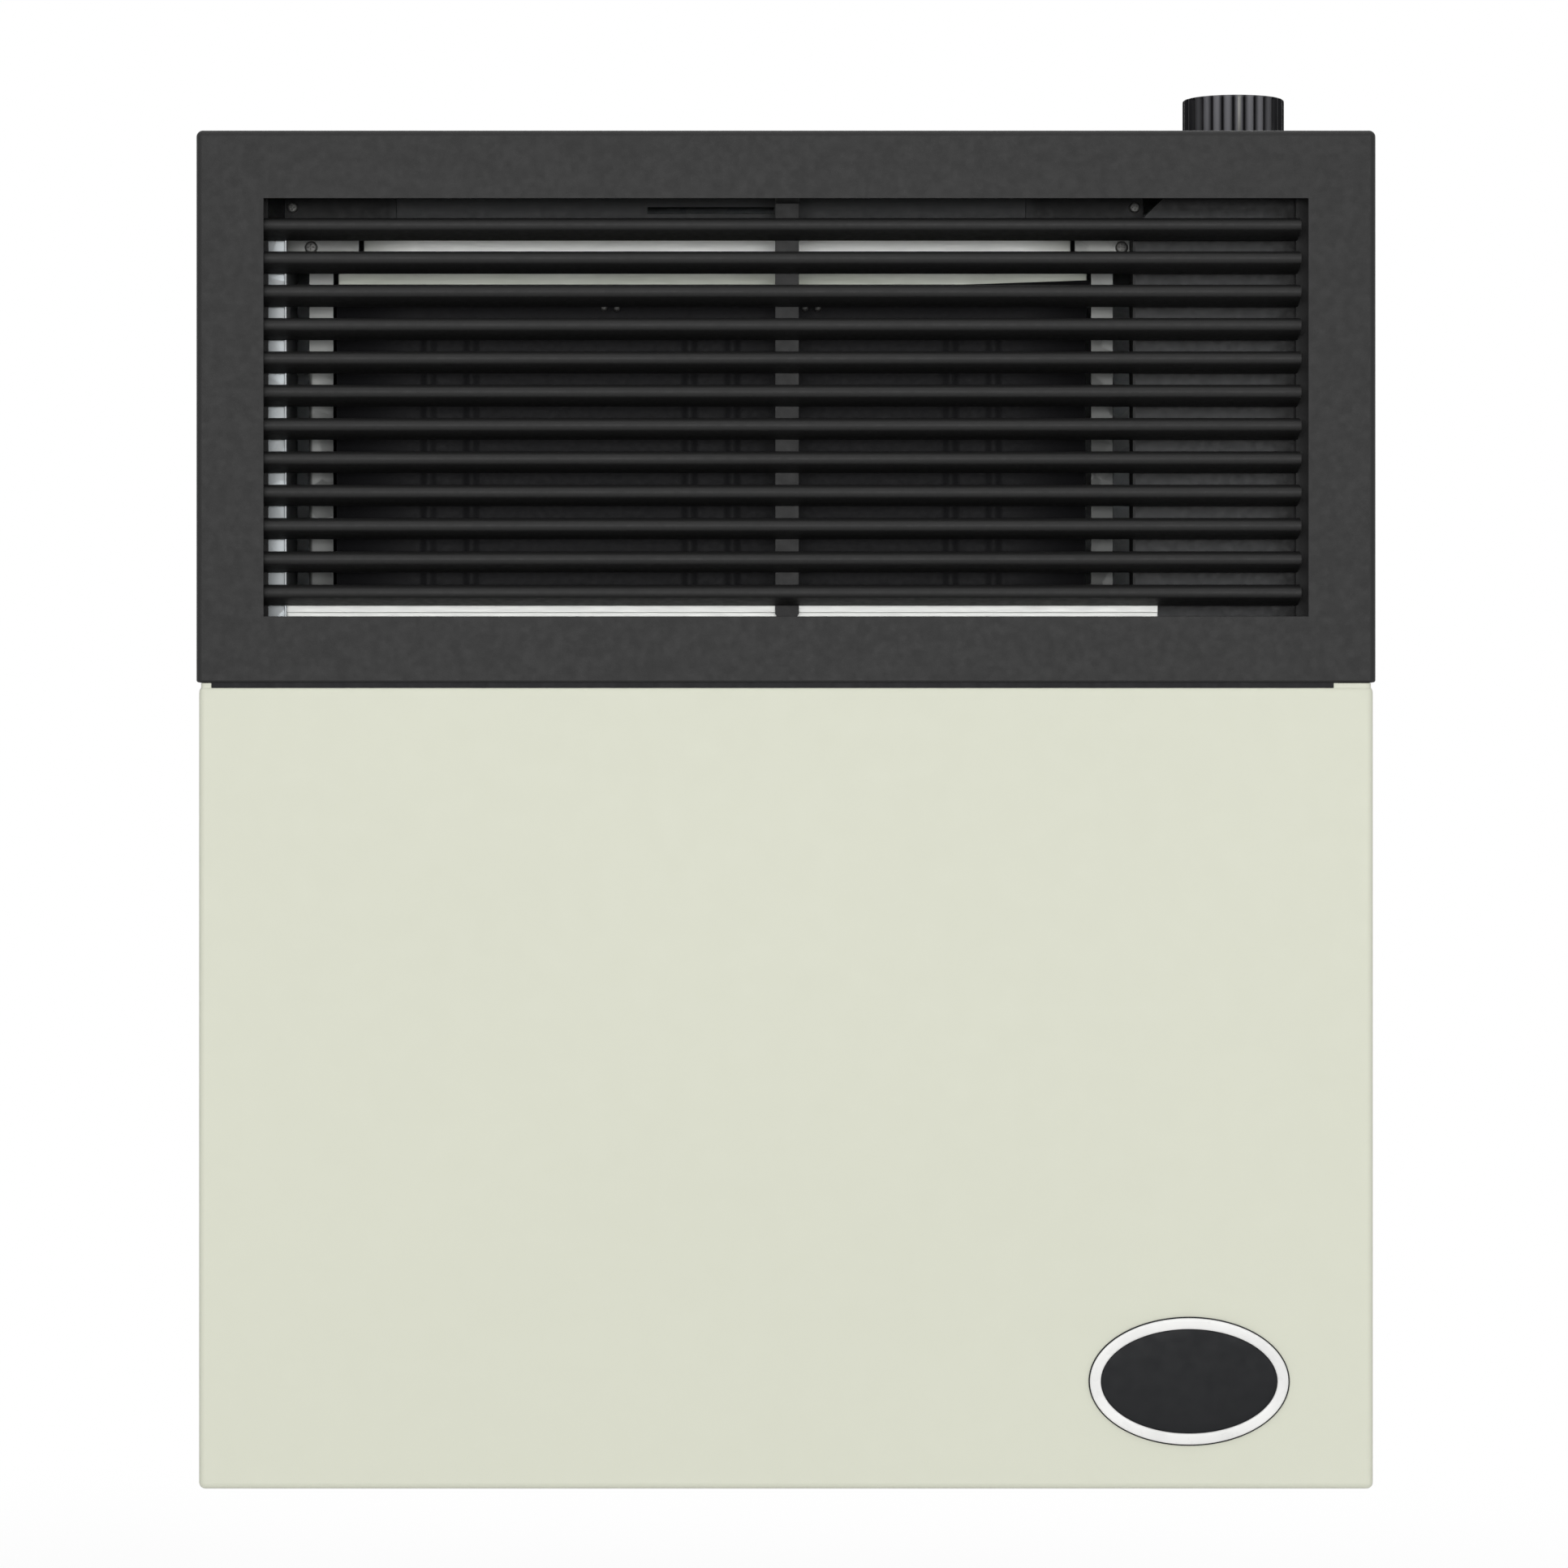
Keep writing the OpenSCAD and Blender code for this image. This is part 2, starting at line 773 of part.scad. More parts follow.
module front_shield() {
    y0 = panel_front_y - shield_t;
    color(bright_steel) {
        block([apron_x0, y0, apron_z0], [apron_x1, panel_front_y, apron_z1]);
        block([apron_x0, y0 - shield_t, apron_z1 - apron_hem], [apron_x1, y0, apron_z1]);
        for (z = apron_ear_z) block([panel_x + 8, y0, z], [apron_x0, panel_front_y, z + apron_ear_h]);
    }
}

// Upright sheet on the exchanger's top, cut clear of the shields' lips and tabs, with a flange forward
module top_deflector() {
    half = shield_x - shield_t;
    front = deflector_y - shield_t;
    low = [deflector_gap + shield_lip_left - shield_x, shield_x - shield_lip_right - deflector_gap];
    high = [deflector_gap - tab_in_left, tab_in_right - deflector_gap];
    window = [slot_half + deflector_gap, slot_h + deflector_gap];
    color(zinc) difference() {
        along_y(front, deflector_y) polygon([
            [low[0], box_z1], [low[1], box_z1], [low[1], tab_z0], [high[1], tab_z0],
            [high[1], deflector_notch_z], [half, deflector_notch_z], [half, deflector_z1],
            [-half, deflector_z1], [-half, deflector_notch_z], [high[0], deflector_notch_z],
            [high[0], tab_z0], [low[0], tab_z0]
        ]);
        block(
            [-window.x, front - tiny, slot_z - window.y],
            [window.x, deflector_y + tiny, slot_z + window.y]
        );
    }
    color(zinc)
        block([-half, shield_y + shield_t, deflector_z1 - shield_t], [half, front, deflector_z1]);
}

module deflector_lip() {
    press_y = lip_y - lip_press;
    hollow_half = lip_press_half - lip_t;
    hollow_z0 = lip_z0 + lip_border + lip_t;
    hollow_z1 = lip_z1 - lip_border - lip_t;
    color(stove_black) difference() {
        union() {
            block([lip_x0, lip_y, lip_z0], [lip_x1, shield_y, lip_z1]);
            block(
                [-lip_press_half, press_y, lip_z0 + lip_border],
                [lip_press_half, lip_y, lip_z1 - lip_border]
            );
        }
        block([-hollow_half, press_y + lip_t, hollow_z0], [hollow_half, shield_y + tiny, hollow_z1]);
        block(
            [-slot_half, press_y - tiny, slot_z - slot_h / 2],
            [slot_half, shield_y, slot_z + slot_h / 2]
        );
    }
}

module control_guard() {
    y1 = guard_y + shield_t;
    foot_x1 = guard_x0 + shield_t;
    color(stove_black) {
        along_y(guard_y, y1) polygon([
            [guard_x0, guard_z0], [guard_x1, guard_z0], [guard_x1, guard_z1],
            [guard_x0 + guard_corner, guard_z1], [guard_x0, guard_z1 - guard_corner]
        ]);
        block([guard_x0, y1, guard_z0], [foot_x1, lip_y, guard_z1 - guard_corner]);
        block([guard_x1 - shield_t, y1, guard_z0], [guard_x1, y1 + guard_return, guard_z1]);
        for (ear = guard_ears) block([ear.x, lip_y, ear.y], [foot_x1, shield_y, ear.z]);
    }
}

// A small domed screw head on a face towards the room
module button_head(x, y, z, r) {
    rim = 1.2;
    dome = 0.6;
    bar_y([x, y - rim, z], r, rim);
    bar_y([x, y - rim - dome, z], r * 0.7, dome);
}

module inner_screws() {
    color(bright_steel) {
        for (x = lip_screw_x) button_head(x, lip_y, lip_screw_z, lip_screw_r);
        for (x = tab_screw_x) button_head(x, shield_y, tab_screw_z, tab_screw_r);
        for (x = rivet_x) button_head(x, front_plate_y, rivet_z, rivet_r);
        for (x = door_screw_x, z = door_screw_z) button_head(x, door_y, z, tab_screw_r);
    }
}

// ---- Heat exchanger ----

module firebox() {
    back = box_y1 - wall_t;
    color(stove_black) difference() {
        union() {
            block([-box_half, box_y0, box_z0], [box_half, box_y1, box_z1]);
            block([-front_half, box_y0, front_z0], [front_half, box_y0 + wall_t, front_top]);
        }
        block(
            [wall_t - box_half, box_y0 - tiny, box_z0 + wall_t],
            [box_half - wall_t, back, box_z1 - wall_t]
        );
        hole_y([0, back, 0], exhaust_r + 0.3, wall_t);
        block(
            [-air_slot_half, back - tiny, box_z0 + air_slot_up],
            [air_slot_half, box_y1 + tiny, box_z0 + air_slot_up + air_slot_h]
        );
        block(
            [box_half - wall_t - tiny, plate_y0 + plate_lap, plate_z0 + plate_lap],
            [box_half + tiny, plate_y1 - plate_lap, plate_z1 - plate_lap]
        );
    }
}

// The front plate with its pressed upright ribs and the door's opening
module firebox_front() {
    way_half = door_half - door_frame;
    rib_y = front_plate_y + 1;
    color(stove_black) difference() {
        union() {
            block([-front_half, front_plate_y, front_z0], [front_half, box_y0, front_top]);
            for (x = rib_places) {
                bar_z([x, rib_y, rib_z0], rib_r, rib_z1 - rib_z0);
                for (z = [rib_z0, rib_z1]) translate([x, rib_y, z]) sphere(rib_r);
            }
        }
        block([-front_half, box_y0, front_z0 - tiny], [front_half, box_y0 + 2 * rib_r, front_top]);
        block(
            [-way_half, front_plate_y - tiny, door_z0 + door_frame],
            [way_half, box_y0 + tiny, door_z1 - door_frame]
        );
    }
}

module door_gasket() {
    way_half = door_half - door_frame;
    gasket_y = front_plate_y - gasket_t;
    color(white) difference() {
        block([-door_half, gasket_y, door_z0], [door_half, front_plate_y, door_z1]);
        block(
            [-way_half, gasket_y - tiny, door_z0 + door_frame],
            [way_half, front_plate_y + tiny, door_z1 - door_frame]
        );
    }
}

module access_door() {
    color(stove_black) difference() {
        block([-door_half, door_y, door_z0], [door_half, door_y + door_t, door_z1]);
        hole_y([0, door_y, sight_z], sight_r, door_t);
    }
}

module sight_glass() {
    color([0.75, 0.85, 0.85, 0.5]) bar_y([0, door_y - glass_t, sight_z], glass_r, glass_t);
}

module sight_frame() {
    color(bright_steel) difference() {
        bar_y([0, door_y - sight_rim_t, sight_z], sight_rim_r, sight_rim_t);
        hole_y([0, door_y - sight_rim_t, sight_z], sight_r, sight_rim_t);
        bar_y([0, door_y - glass_t, sight_z], glass_r, glass_t + tiny);
    }
}

module flue_baffle() {
    half = box_half - wall_t;
    y0 = box_y0 + 20;
    color(stove_black) {
        block([-half, y0, baffle_z - wall_t], [half, box_y1 - 15, baffle_z]);
        block([-half, y0, baffle_z - 12], [half, y0 + wall_t, baffle_z - wall_t]);
    }
}

module exhaust_stub() {
    inside = box_y1 - wall_t - 3;
    color(bright_steel) difference() {
        union() {
            bar_y([0, inside, 0], exhaust_r, exhaust_out - inside);
            bar_y([0, box_y1, 0], stub_flange_r, 2);
        }
        hole_y([0, inside, 0], exhaust_r - stub_wall, exhaust_out - inside);
    }
}

module air_duct() {
    lid_y = chassis_y0 - duct_t;
    color(zinc) difference() {
        block([-duct_half, box_y1, box_z0], [duct_half, chassis_y0, duct_z1]);
        block(
            [duct_t - duct_half, box_y1 - tiny, box_z0 + duct_t],
            [duct_half - duct_t, lid_y, duct_z1 - duct_t]
        );
        hole_y([0, lid_y, 0], duct_hole_r, duct_t);
    }
}

module intake_collar() {
    flange_y0 = chassis_y0 - duct_t - 1;
    length = intake_out - flange_y0;
    color(bright_steel) difference() {
        union() {
            bar_y([0, flange_y0, 0], intake_r, length);
            bar_y([0, flange_y0, 0], collar_flange_r, 1);
        }
        hole_y([0, flange_y0, 0], intake_r - collar_wall, length);
    }
}

// Two angles that carry the exchanger on the back panel
module firebox_brackets() {
    inner = 118;
    width = 32;
    drop = 45;
    color(zinc) for (side = [-1, 1]) {
        x0 = side > 0 ? inner : -inner - width;
        block([x0, box_y0 + 8, box_z0 - 2], [x0 + width, chassis_y0, box_z0]);
        block([x0, chassis_y0 - 2, box_z0 - drop], [x0 + width, chassis_y0, box_z0]);
    }
}

// ---- Burner and pilot ----

module burner_plate() {
    color(zinc) difference() {
        block([plate_x, plate_y0, plate_z0], [plate_x + plate_t, plate_y1, plate_z1]);
        hole_x([plate_x, burner_y, burner_z], burner_r + hole_gap, plate_t);
        hole_x([plate_x, pilot_y, pilot_z], pilot_pipe_r + 2 * hole_gap, plate_t);
        hole_x([plate_x, couple_y, pilot_z], couple_r + 2 * hole_gap, plate_t);
        hole_x([plate_x, spark_y, pilot_z], electrode_r + 2 * hole_gap, plate_t);
    }
}

module main_burner() {
    cradle_x = -102;
    cradle_half = 12;
    port_half = 8;
    port_w = 2.5;
    color(bright_steel) difference() {
        union() {
            bar_x([burner_x0, burner_y, burner_z], burner_r, burner_x1 - burner_x0);
            block(
                [cradle_x, burner_y - cradle_half, box_z0 + wall_t],
                [cradle_x + 1.5, burner_y + cradle_half, burner_z]
            );
        }
        bar_x([burner_x0 + burner_wall, burner_y, burner_z], burner_r - burner_wall, burner_x1 - burner_x0);
        for (x = [port_first : port_step : port_last]) block(
            [x, burner_y - port_half, burner_z + 6],
            [x + port_w, burner_y + port_half, burner_z + burner_r + tiny]
        );
    }
}

// The gas injector in its U-shaped arm
module injector() {
    end_x = 184.5;
    arm_t = 1.5;
    arm_half = 20;
    arm_y0 = burner_y - 10;
    arm_y1 = burner_y + 10;
    color(zinc) difference() {
        union() {
            for (z = [burner_z - arm_half, burner_z + arm_half - arm_t])
                block([plate_x + plate_t, arm_y0, z], [end_x + arm_t, arm_y1, z + arm_t]);
            block([end_x, arm_y0, burner_z - arm_half], [end_x + arm_t, arm_y1, burner_z + arm_half]);
        }
        hole_x([end_x, burner_y, burner_z], 6, arm_t);
    }
    color(brass) {
        bar_x([168, burner_y, burner_z], 4, 8);
        bar_x([176, burner_y, burner_z], 6, 12);
        nut_x([188, burner_y, burner_z], 8.5, 10);
    }
}

// The pilot's hood and nozzle on the shelf that also steadies the electrode
module pilot_burner() {
    shelf_z0 = burner_z + burner_r + 0.5;
    shelf_z1 = shelf_z0 + 1.5;
    color(zinc) block([90, pilot_y - 8, shelf_z0], [plate_x, spark_y + 10, shelf_z1]);
    color(brass) {
        bar_z([104, pilot_y, shelf_z1], 5, 18);
        bar_x([94, pilot_y, pilot_z + 4], 3, 10);
    }
}

module thermocouple() {
    nut_x0 = 216;
    color(copper) {
        bar_x([100, couple_y, pilot_z], 3, 24);
        pipe(couple_route, couple_r, 4);
        nut_x([nut_x0, couple_route[0].y, couple_route[0].z], 4, valve_x0 - nut_x0);
    }
}

module spark_electrode() {
    tip_x = 100;
    color(white) bar_x([electrode_x, spark_y, pilot_z], electrode_r, 48);
    color(bright_steel) bar_x([tip_x, spark_y, pilot_z], 1, electrode_x - tip_x);
}

module spark_lead() {
    color(dark_plastic) pipe(lead_route, lead_r, 8);
}

// The room-air bulb with its capillary and its two clips
module thermostat_bulb() {
    clip_w = 4;
    color(copper) {
        bar_x([bulb_x0, bulb_y, bulb_z], bulb_r, bulb_x1 - bulb_x0);
        pipe(capillary_route, capillary_r, 8);
        for (x = [-45, 12]) block([x, bulb_y, bulb_z - 1], [x + clip_w, chassis_y0, bulb_z + 1]);
    }
}

module burner_pipe() {
    nut_x0 = 216;
    color(copper) {
        pipe(burner_route, burner_pipe_r, 6);
        nut_x([nut_x0, knob_y, burner_route[0].z], 8, valve_x0 - nut_x0);
    }
}

module pilot_pipe() {
    nut_x0 = 217;
    color(copper) {
        pipe(pilot_route, pilot_pipe_r, 6);
        nut_x([nut_x0, pilot_route[0].y, pilot_route[0].z], 5, valve_x0 - nut_x0);
    }
}

// ---- Gas valve and controls ----

module gas_valve() {
    bore_z0 = plunger_z0 - 2 * knob_travel;
    color(bright_steel) difference() {
        union() {
            block([valve_x0, valve_y0, shelf_z], [valve_x1, valve_y1, valve_z1]);
            bar_z([knob_x, knob_y, valve_z1], boss_r, boss_z1 - valve_z1);
            bar_x([valve_x1, knob_y, magnet_z], magnet_r, magnet_l);
        }
        bar_z([knob_x, knob_y, bore_z0], plunger_r + run_gap, boss_z1 - bore_z0 + tiny);
    }
}

module control_bracket() {
    x0 = knob_x - 55;
    x1 = knob_x + 45;
    z0 = shelf_z - shelf_t;
    back_lip = 42;
    color(zinc) difference() {
        union() {
            block([x0, knob_y - 45, z0], [x1, chassis_y0, shelf_z]);
            block([x0, chassis_y0 - shelf_t, z0], [x1, chassis_y0, shelf_z + back_lip]);
        }
        hole_z([knob_x, knob_y, z0], 9, shelf_t);
        hole_z([capillary_x, capillary_y, z0], 3, shelf_t);
        hole_z([piezo_x, piezo_y, z0], piezo_r + hole_gap, shelf_t);
    }
}

module inlet_union() {
    hex_z = inlet_z0 + inlet_l;
    neck_z = hex_z + 12;
    color(brass) {
        bar_z([knob_x, knob_y, inlet_z0], inlet_r, inlet_l);
        translate([knob_x, knob_y, hex_z]) cylinder(h = neck_z - hex_z, r = 12, $fn = 6);
        bar_z([knob_x, knob_y, neck_z], 6.5, shelf_z - neck_z);
    }
}

module piezo_igniter() {
    nut_t = 3;
    collar_t = 2.5;
    color(dark_plastic) difference() {
        union() {
            bar_z([piezo_x, piezo_y, piezo_z0], piezo_r, piezo_z1 - piezo_z0);
            bar_z([piezo_x, piezo_y, shelf_z - shelf_t - nut_t], 11, nut_t);
            bar_z([piezo_x, piezo_y, shelf_z], 10, collar_t);
        }
        bar_z([piezo_x, piezo_y, piezo_z0 - tiny], button_r + run_gap, piezo_bore + tiny);
    }
}

module igniter_button() {
    color("firebrick") {
        bar_z([piezo_x, piezo_y, button_z0], button_r, button_l);
        bar_z([piezo_x, piezo_y, button_z0], button_cap_r, button_cap_h);
    }
}

module knob_bushing() {
    flange_t = 1.5;
    flange_r = 9;
    thread_h = 6;
    nut_h = 4;
    color(dark_plastic) difference() {
        union() {
            bar_z([knob_x, knob_y, top_z], flange_r, flange_t);
            bar_z([knob_x, knob_y, top_z - thread_h], bushing_r, thread_h);
            translate([knob_x, knob_y, top_z - sheet_t - nut_h]) cylinder(h = nut_h, r = 10, $fn = 6);
        }
        hole_z([knob_x, knob_y, top_z - thread_h], rod_r + run_gap, thread_h + flange_t);
    }
}

module valve_plunger() {
    floor_t = 2;
    length = plunger_z1 - plunger_z0;
    color(brass) difference() {
        bar_z([knob_x, knob_y, plunger_z0], plunger_r, length);
        bar_z([knob_x, knob_y, plunger_z0 + floor_t], rod_r + run_gap, length);
    }
}

// The rod with the collar that presses the plunger and the sleeve that joins its two lengths
module knob_rod() {
    rod_z0 = plunger_z0 + 2.5;
    color(bright_steel) {
        bar_z([knob_x, knob_y, rod_z0], rod_r, knob_z0 + knob_bore - rod_z0);
        bar_z([knob_x, knob_y, plunger_z1], 7, 4);
        bar_z([knob_x, knob_y, -230], 7.5, 30);
    }
}

module knob() {
    crown = 0.6;
    z_crown = knob_z1 - crown;
    flute_at = knob_r + 0.5;
    index_half = 0.9;
    color(dark_plastic) translate([knob_x, knob_y, 0]) rotate([0, 0, knob_index]) difference() {
        union() {
            bar_z([0, 0, knob_z0], knob_r, z_crown - knob_z0);
            translate([0, 0, z_crown]) cylinder(h = crown, r1 = knob_r, r2 = knob_r - crown);
        }
        difference() {
            bar_z([0, 0, knob_z0 - tiny], knob_r - knob_wall, knob_hollow + tiny);
            bar_z([0, 0, knob_z0 + hub_rise], hub_r, knob_hollow);
        }
        bar_z([0, 0, knob_z0], rod_r + 0.05, knob_bore + 0.05);
        for (i = [0 : flute_n - 1]) {
            a = 360 * (i + 0.5) / flute_n - 90;
            at = [flute_at * cos(a), flute_at * sin(a), knob_z0 - tiny];
            bar_z(at, flute_r, z_crown - at.z);
        }
    }
    color(white) translate([knob_x, knob_y, 0]) rotate([0, 0, knob_index]) block(
        [-index_half, -knob_r - 0.3, knob_z0 + 1],
        [index_half, -knob_r + 1, z_crown]
    );
}

// ---- Parts ----

wall_bracket();
chassis_back();
hood();
lower_cover();
casing_screws();
for (i = [1 : louvre_n]) louvre(i);
louvre_strip_left();
louvre_strip_right();
louvre_rib();
badge_rim();
badge_plate();
side_panel_left();
side_shield_left();
side_shield_right();
front_shield();
top_deflector();
deflector_lip();
control_guard();
inner_screws();
firebox();
firebox_front();
access_door();
door_gasket();
sight_glass();
sight_frame();
flue_baffle();
exhaust_stub();
air_duct();
intake_collar();
firebox_brackets();
burner_plate();
main_burner();
injector();
pilot_burner();
spark_electrode();
spark_lead();
thermocouple();
thermostat_bulb();
burner_pipe();
pilot_pipe();
gas_valve();
control_bracket();
inlet_union();
piezo_igniter();
igniter_button();
knob_bushing();
valve_plunger();
knob_rod();
knob();
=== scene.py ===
"""Wall mounted gas heater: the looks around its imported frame.

Metres, +X right seen from the room, +Y into the wall, +Z up, the origin on the flue axis at the wall.
"""

import json
import math

import bmesh
import bpy
from mathutils import Matrix, Vector


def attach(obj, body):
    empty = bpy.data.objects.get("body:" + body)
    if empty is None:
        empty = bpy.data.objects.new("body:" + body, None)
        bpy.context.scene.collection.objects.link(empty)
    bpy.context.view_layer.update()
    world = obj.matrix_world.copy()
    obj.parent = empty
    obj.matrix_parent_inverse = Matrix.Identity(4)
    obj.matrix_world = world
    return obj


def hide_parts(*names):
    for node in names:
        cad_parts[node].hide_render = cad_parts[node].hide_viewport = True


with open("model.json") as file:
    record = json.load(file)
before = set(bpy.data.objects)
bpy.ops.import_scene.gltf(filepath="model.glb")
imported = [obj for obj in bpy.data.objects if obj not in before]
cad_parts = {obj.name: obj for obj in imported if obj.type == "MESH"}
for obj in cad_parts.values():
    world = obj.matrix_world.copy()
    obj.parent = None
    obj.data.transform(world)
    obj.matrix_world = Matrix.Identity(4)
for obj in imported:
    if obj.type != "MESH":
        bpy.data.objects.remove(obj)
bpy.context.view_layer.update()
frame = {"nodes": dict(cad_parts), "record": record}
MM = 0.001
UP, DOWN, RIGHTWARD, TO_ROOM, TO_WALL = (0, 0, 1), (0, 0, -1), (1, 0, 0), (0, -1, 0), (0, 1, 0)
KNOB_X, KNOB_Y = 247.0, -137.0
# The painted blade shadows' waves on the guard: one to each louvre blade
SHADOW_BAND_SCALE, SHADOW_BAND_PHASE = 20.493, 0.867


# ---- Materials ----


def srgb(r, g, b):
    """A colour given in 0 to 255, as the linear colour that a shader takes."""
    parts = [c / 255 for c in (r, g, b)]
    return (*[c / 12.92 if c <= 0.04045 else ((c + 0.055) / 1.055) ** 2.4 for c in parts], 1)


class Nodes:
    """The nodes of one tree, which starts empty."""

    def __init__(self, tree):
        self.tree = tree
        tree.nodes.clear()

    def add(self, kind, **values):
        """A shader node with its sockets, or else its attributes, set by name."""
        node = self.tree.nodes.new("ShaderNode" + kind)
        for key, value in values.items():
            socket = node.inputs.get(key.replace("_", " "))
            if socket is None:
                setattr(node, key, value)
            else:
                socket.default_value = value
        return node

    def link(self, source, target):
        self.tree.links.new(source, target)

    def math(self, operation, a, b):
        node = self.add("Math", operation=operation)
        for socket, value in zip(node.inputs, (a, b)):
            if isinstance(value, (int, float)):
                socket.default_value = value
            else:
                self.link(value, socket)
        return node.outputs[0]

    def vector(self, operation, source, value=(0, 0, 0)):
        node = self.add("VectorMath", operation=operation)
        node.inputs[1].default_value = value
        self.link(source, node.inputs[0])
        return node.outputs["Value" if operation == "LENGTH" else "Vector"]

    def joined(self, kind, *sources):
        """The output of a node that takes the sources in turn."""
        node = self.add(kind)
        for source, socket in zip(sources, node.inputs):
            self.link(source, socket)
        return node.outputs[0]


class Finish(Nodes):
    """One material with the few kinds of node that the finishes share."""

    def __init__(self, name, **shader_values):
        self.material = bpy.data.materials.new(name)
        self.material.use_nodes = True
        super().__init__(self.material.node_tree)
        self.shader = self.add("BsdfPrincipled", **shader_values)
        output = self.add("OutputMaterial")
        self.link(self.shader.outputs[0], output.inputs["Surface"])
        self.place = self.add("TexCoord").outputs["Object"]

    def stretched(self, x, y, z):
        """The place, with each axis scaled, for brushed and drawn surfaces."""
        node = self.add("Mapping", Scale=(x, y, z))
        self.link(self.place, node.inputs["Vector"])
        return node.outputs["Vector"]

    def noise(self, scale, detail=2.0, vector=None):
        node = self.add("TexNoise", Scale=scale, Detail=detail)
        self.link(vector or self.place, node.inputs["Vector"])
        return node.outputs["Fac"]

    def cells(self, scale):
        """A random grey for each cell of a Voronoi pattern."""
        node = self.add("TexVoronoi", Scale=scale)
        self.link(self.place, node.inputs["Vector"])
        grey = self.add("SeparateColor")
        self.link(node.outputs["Color"], grey.inputs["Color"])
        return grey.outputs["Red"]

    def waves(self, scale, direction, phase=0.0):
        node = self.add("TexWave", Scale=scale, Phase_Offset=phase, bands_direction=direction)
        self.link(self.place, node.inputs["Vector"])
        return node.outputs["Fac"]

    def between(self, factor, low, high, from_low=0.3, from_high=0.7):
        """A number that runs from low to high as the factor goes over its middle range."""
        node = self.add("MapRange", From_Min=from_low, From_Max=from_high, To_Min=low, To_Max=high)
        self.link(factor, node.inputs["Value"])
        return node.outputs["Result"]

    def blend(self, factor, first, second):
        """A colour between two others, each a colour or a socket."""
        node = self.add("Mix", data_type="RGBA")
        self.link(factor, node.inputs[0])
        for socket, value in ((node.inputs[6], first), (node.inputs[7], second)):
            if isinstance(value, tuple):
                socket.default_value = value
            else:
                self.link(value, socket)
        return node.outputs[2]

    def colour(self, source):
        self.link(source, self.shader.inputs["Base Color"])

    def roughness(self, source):
        self.link(source, self.shader.inputs["Roughness"])

    def bump(self, height, strength, distance):
        node = self.add("Bump", Strength=strength, Distance=distance)
        self.link(height, node.inputs["Height"])
        self.link(node.outputs["Normal"], self.shader.inputs["Normal"])

    def where(self, axis, start, end, wander=0.0):
        """0 at one place along an axis and 1 at another, in metres; wander bends that edge."""
        split = self.add("SeparateXYZ")
        self.link(self.place, split.inputs[0])
        place = split.outputs[axis]
        if wander:
            place = self.math("ADD", place, self.between(self.noise(24, 3), -wander, wander))
        return self.between(place, 0, 1, start, end)

    def marked(self, tone, marks):
        """A tone with marks on it: each a colour, then the limits it lies in, as where takes them."""
        for colour, first, *others in marks:
            inside = self.where(*first)
            for limit in others:
                inside = self.math("MULTIPLY", inside, self.where(*limit))
            tone = self.blend(inside, tone, colour)
        return tone


def darker(colour, share):
    return (*[c * share for c in colour[:3]], 1)


def coated(name, colour, rough, grain, bump, spec, patch=0.92, marks=(), blade_shadows=False):
    """A painted or powder-coated sheet: fine grain, slight patches in colour and gloss.

    blade_shadows paints shade on the control guard: a dark band under each blade, where the blade's shadow
    falls.
    """
    finish = Finish(name, Specular_IOR_Level=spec)
    patches = finish.noise(7, 3)
    fine = finish.noise(grain, 2)
    tone = finish.blend(finish.between(patches, 0, 1), darker(colour, patch), colour)
    if blade_shadows:
        # Painted shadow: a dark band on the guard under each blade
        blade_shadow_band = finish.between(finish.waves(SHADOW_BAND_SCALE, "Z", SHADOW_BAND_PHASE), 1, 0, 0.26, 0.9)
        shadow_on_guard = finish.math("MULTIPLY", blade_shadow_band, finish.where("X", 0.1966, 0.197))
        tone = finish.blend(shadow_on_guard, tone, darker(colour, 0.12))
    finish.colour(finish.marked(tone, marks))
    finish.roughness(finish.between(finish.noise(grain * 0.2, 3), rough - 0.05, rough + 0.06))
    finish.bump(fine, bump, 0.2 * MM)
    return finish.material


def galvanised(name, light, dark, stain, marks):
    """Galvanised sheet with its spangle."""
    finish = Finish(name, Metallic=1.0)
    spangle = finish.cells(105)
    cloudy = finish.noise(26, 4)
    tone = finish.blend(spangle, dark, light)
    tone = finish.blend(finish.between(cloudy, 0, 0.6), tone, stain)
    finish.colour(finish.marked(tone, marks))
    finish.roughness(finish.between(spangle, 0.38, 0.54, 0, 1))
    finish.bump(finish.noise(900, 2), 0.08, 0.1 * MM)
    return finish.material


def drawn_metal(name, light, dark, rough, along, metallic=1.0, marks=()):
    """A drawn or brushed metal, with lines along one axis."""
    finish = Finish(name, Metallic=metallic)
    scale = [1.0 if axis == along else 22.0 for axis in "xyz"]
    lines = finish.noise(90, 4, finish.stretched(*scale))
    stain = finish.noise(18, 3)
    tone = finish.blend(finish.between(lines, 0, 1), dark, light)
    tone = finish.blend(finish.between(stain, 0, 0.5), tone, dark)
    finish.colour(finish.marked(tone, marks))
    finish.roughness(finish.between(lines, rough - 0.06, rough + 0.08))
    finish.bump(lines, 0.1, 0.08 * MM)
    return finish.material


def cast_metal(name):
    finish = Finish(name, Metallic=1.0)
    cast = finish.noise(620, 4)
    cloudy = finish.noise(40, 3)
    finish.colour(finish.blend(finish.between(cloudy, 0, 1), srgb(150, 152, 154), srgb(186, 188, 190)))
    finish.roughness(finish.between(cast, 0.42, 0.6))
    finish.bump(cast, 0.35, 0.25 * MM)
    return finish.material


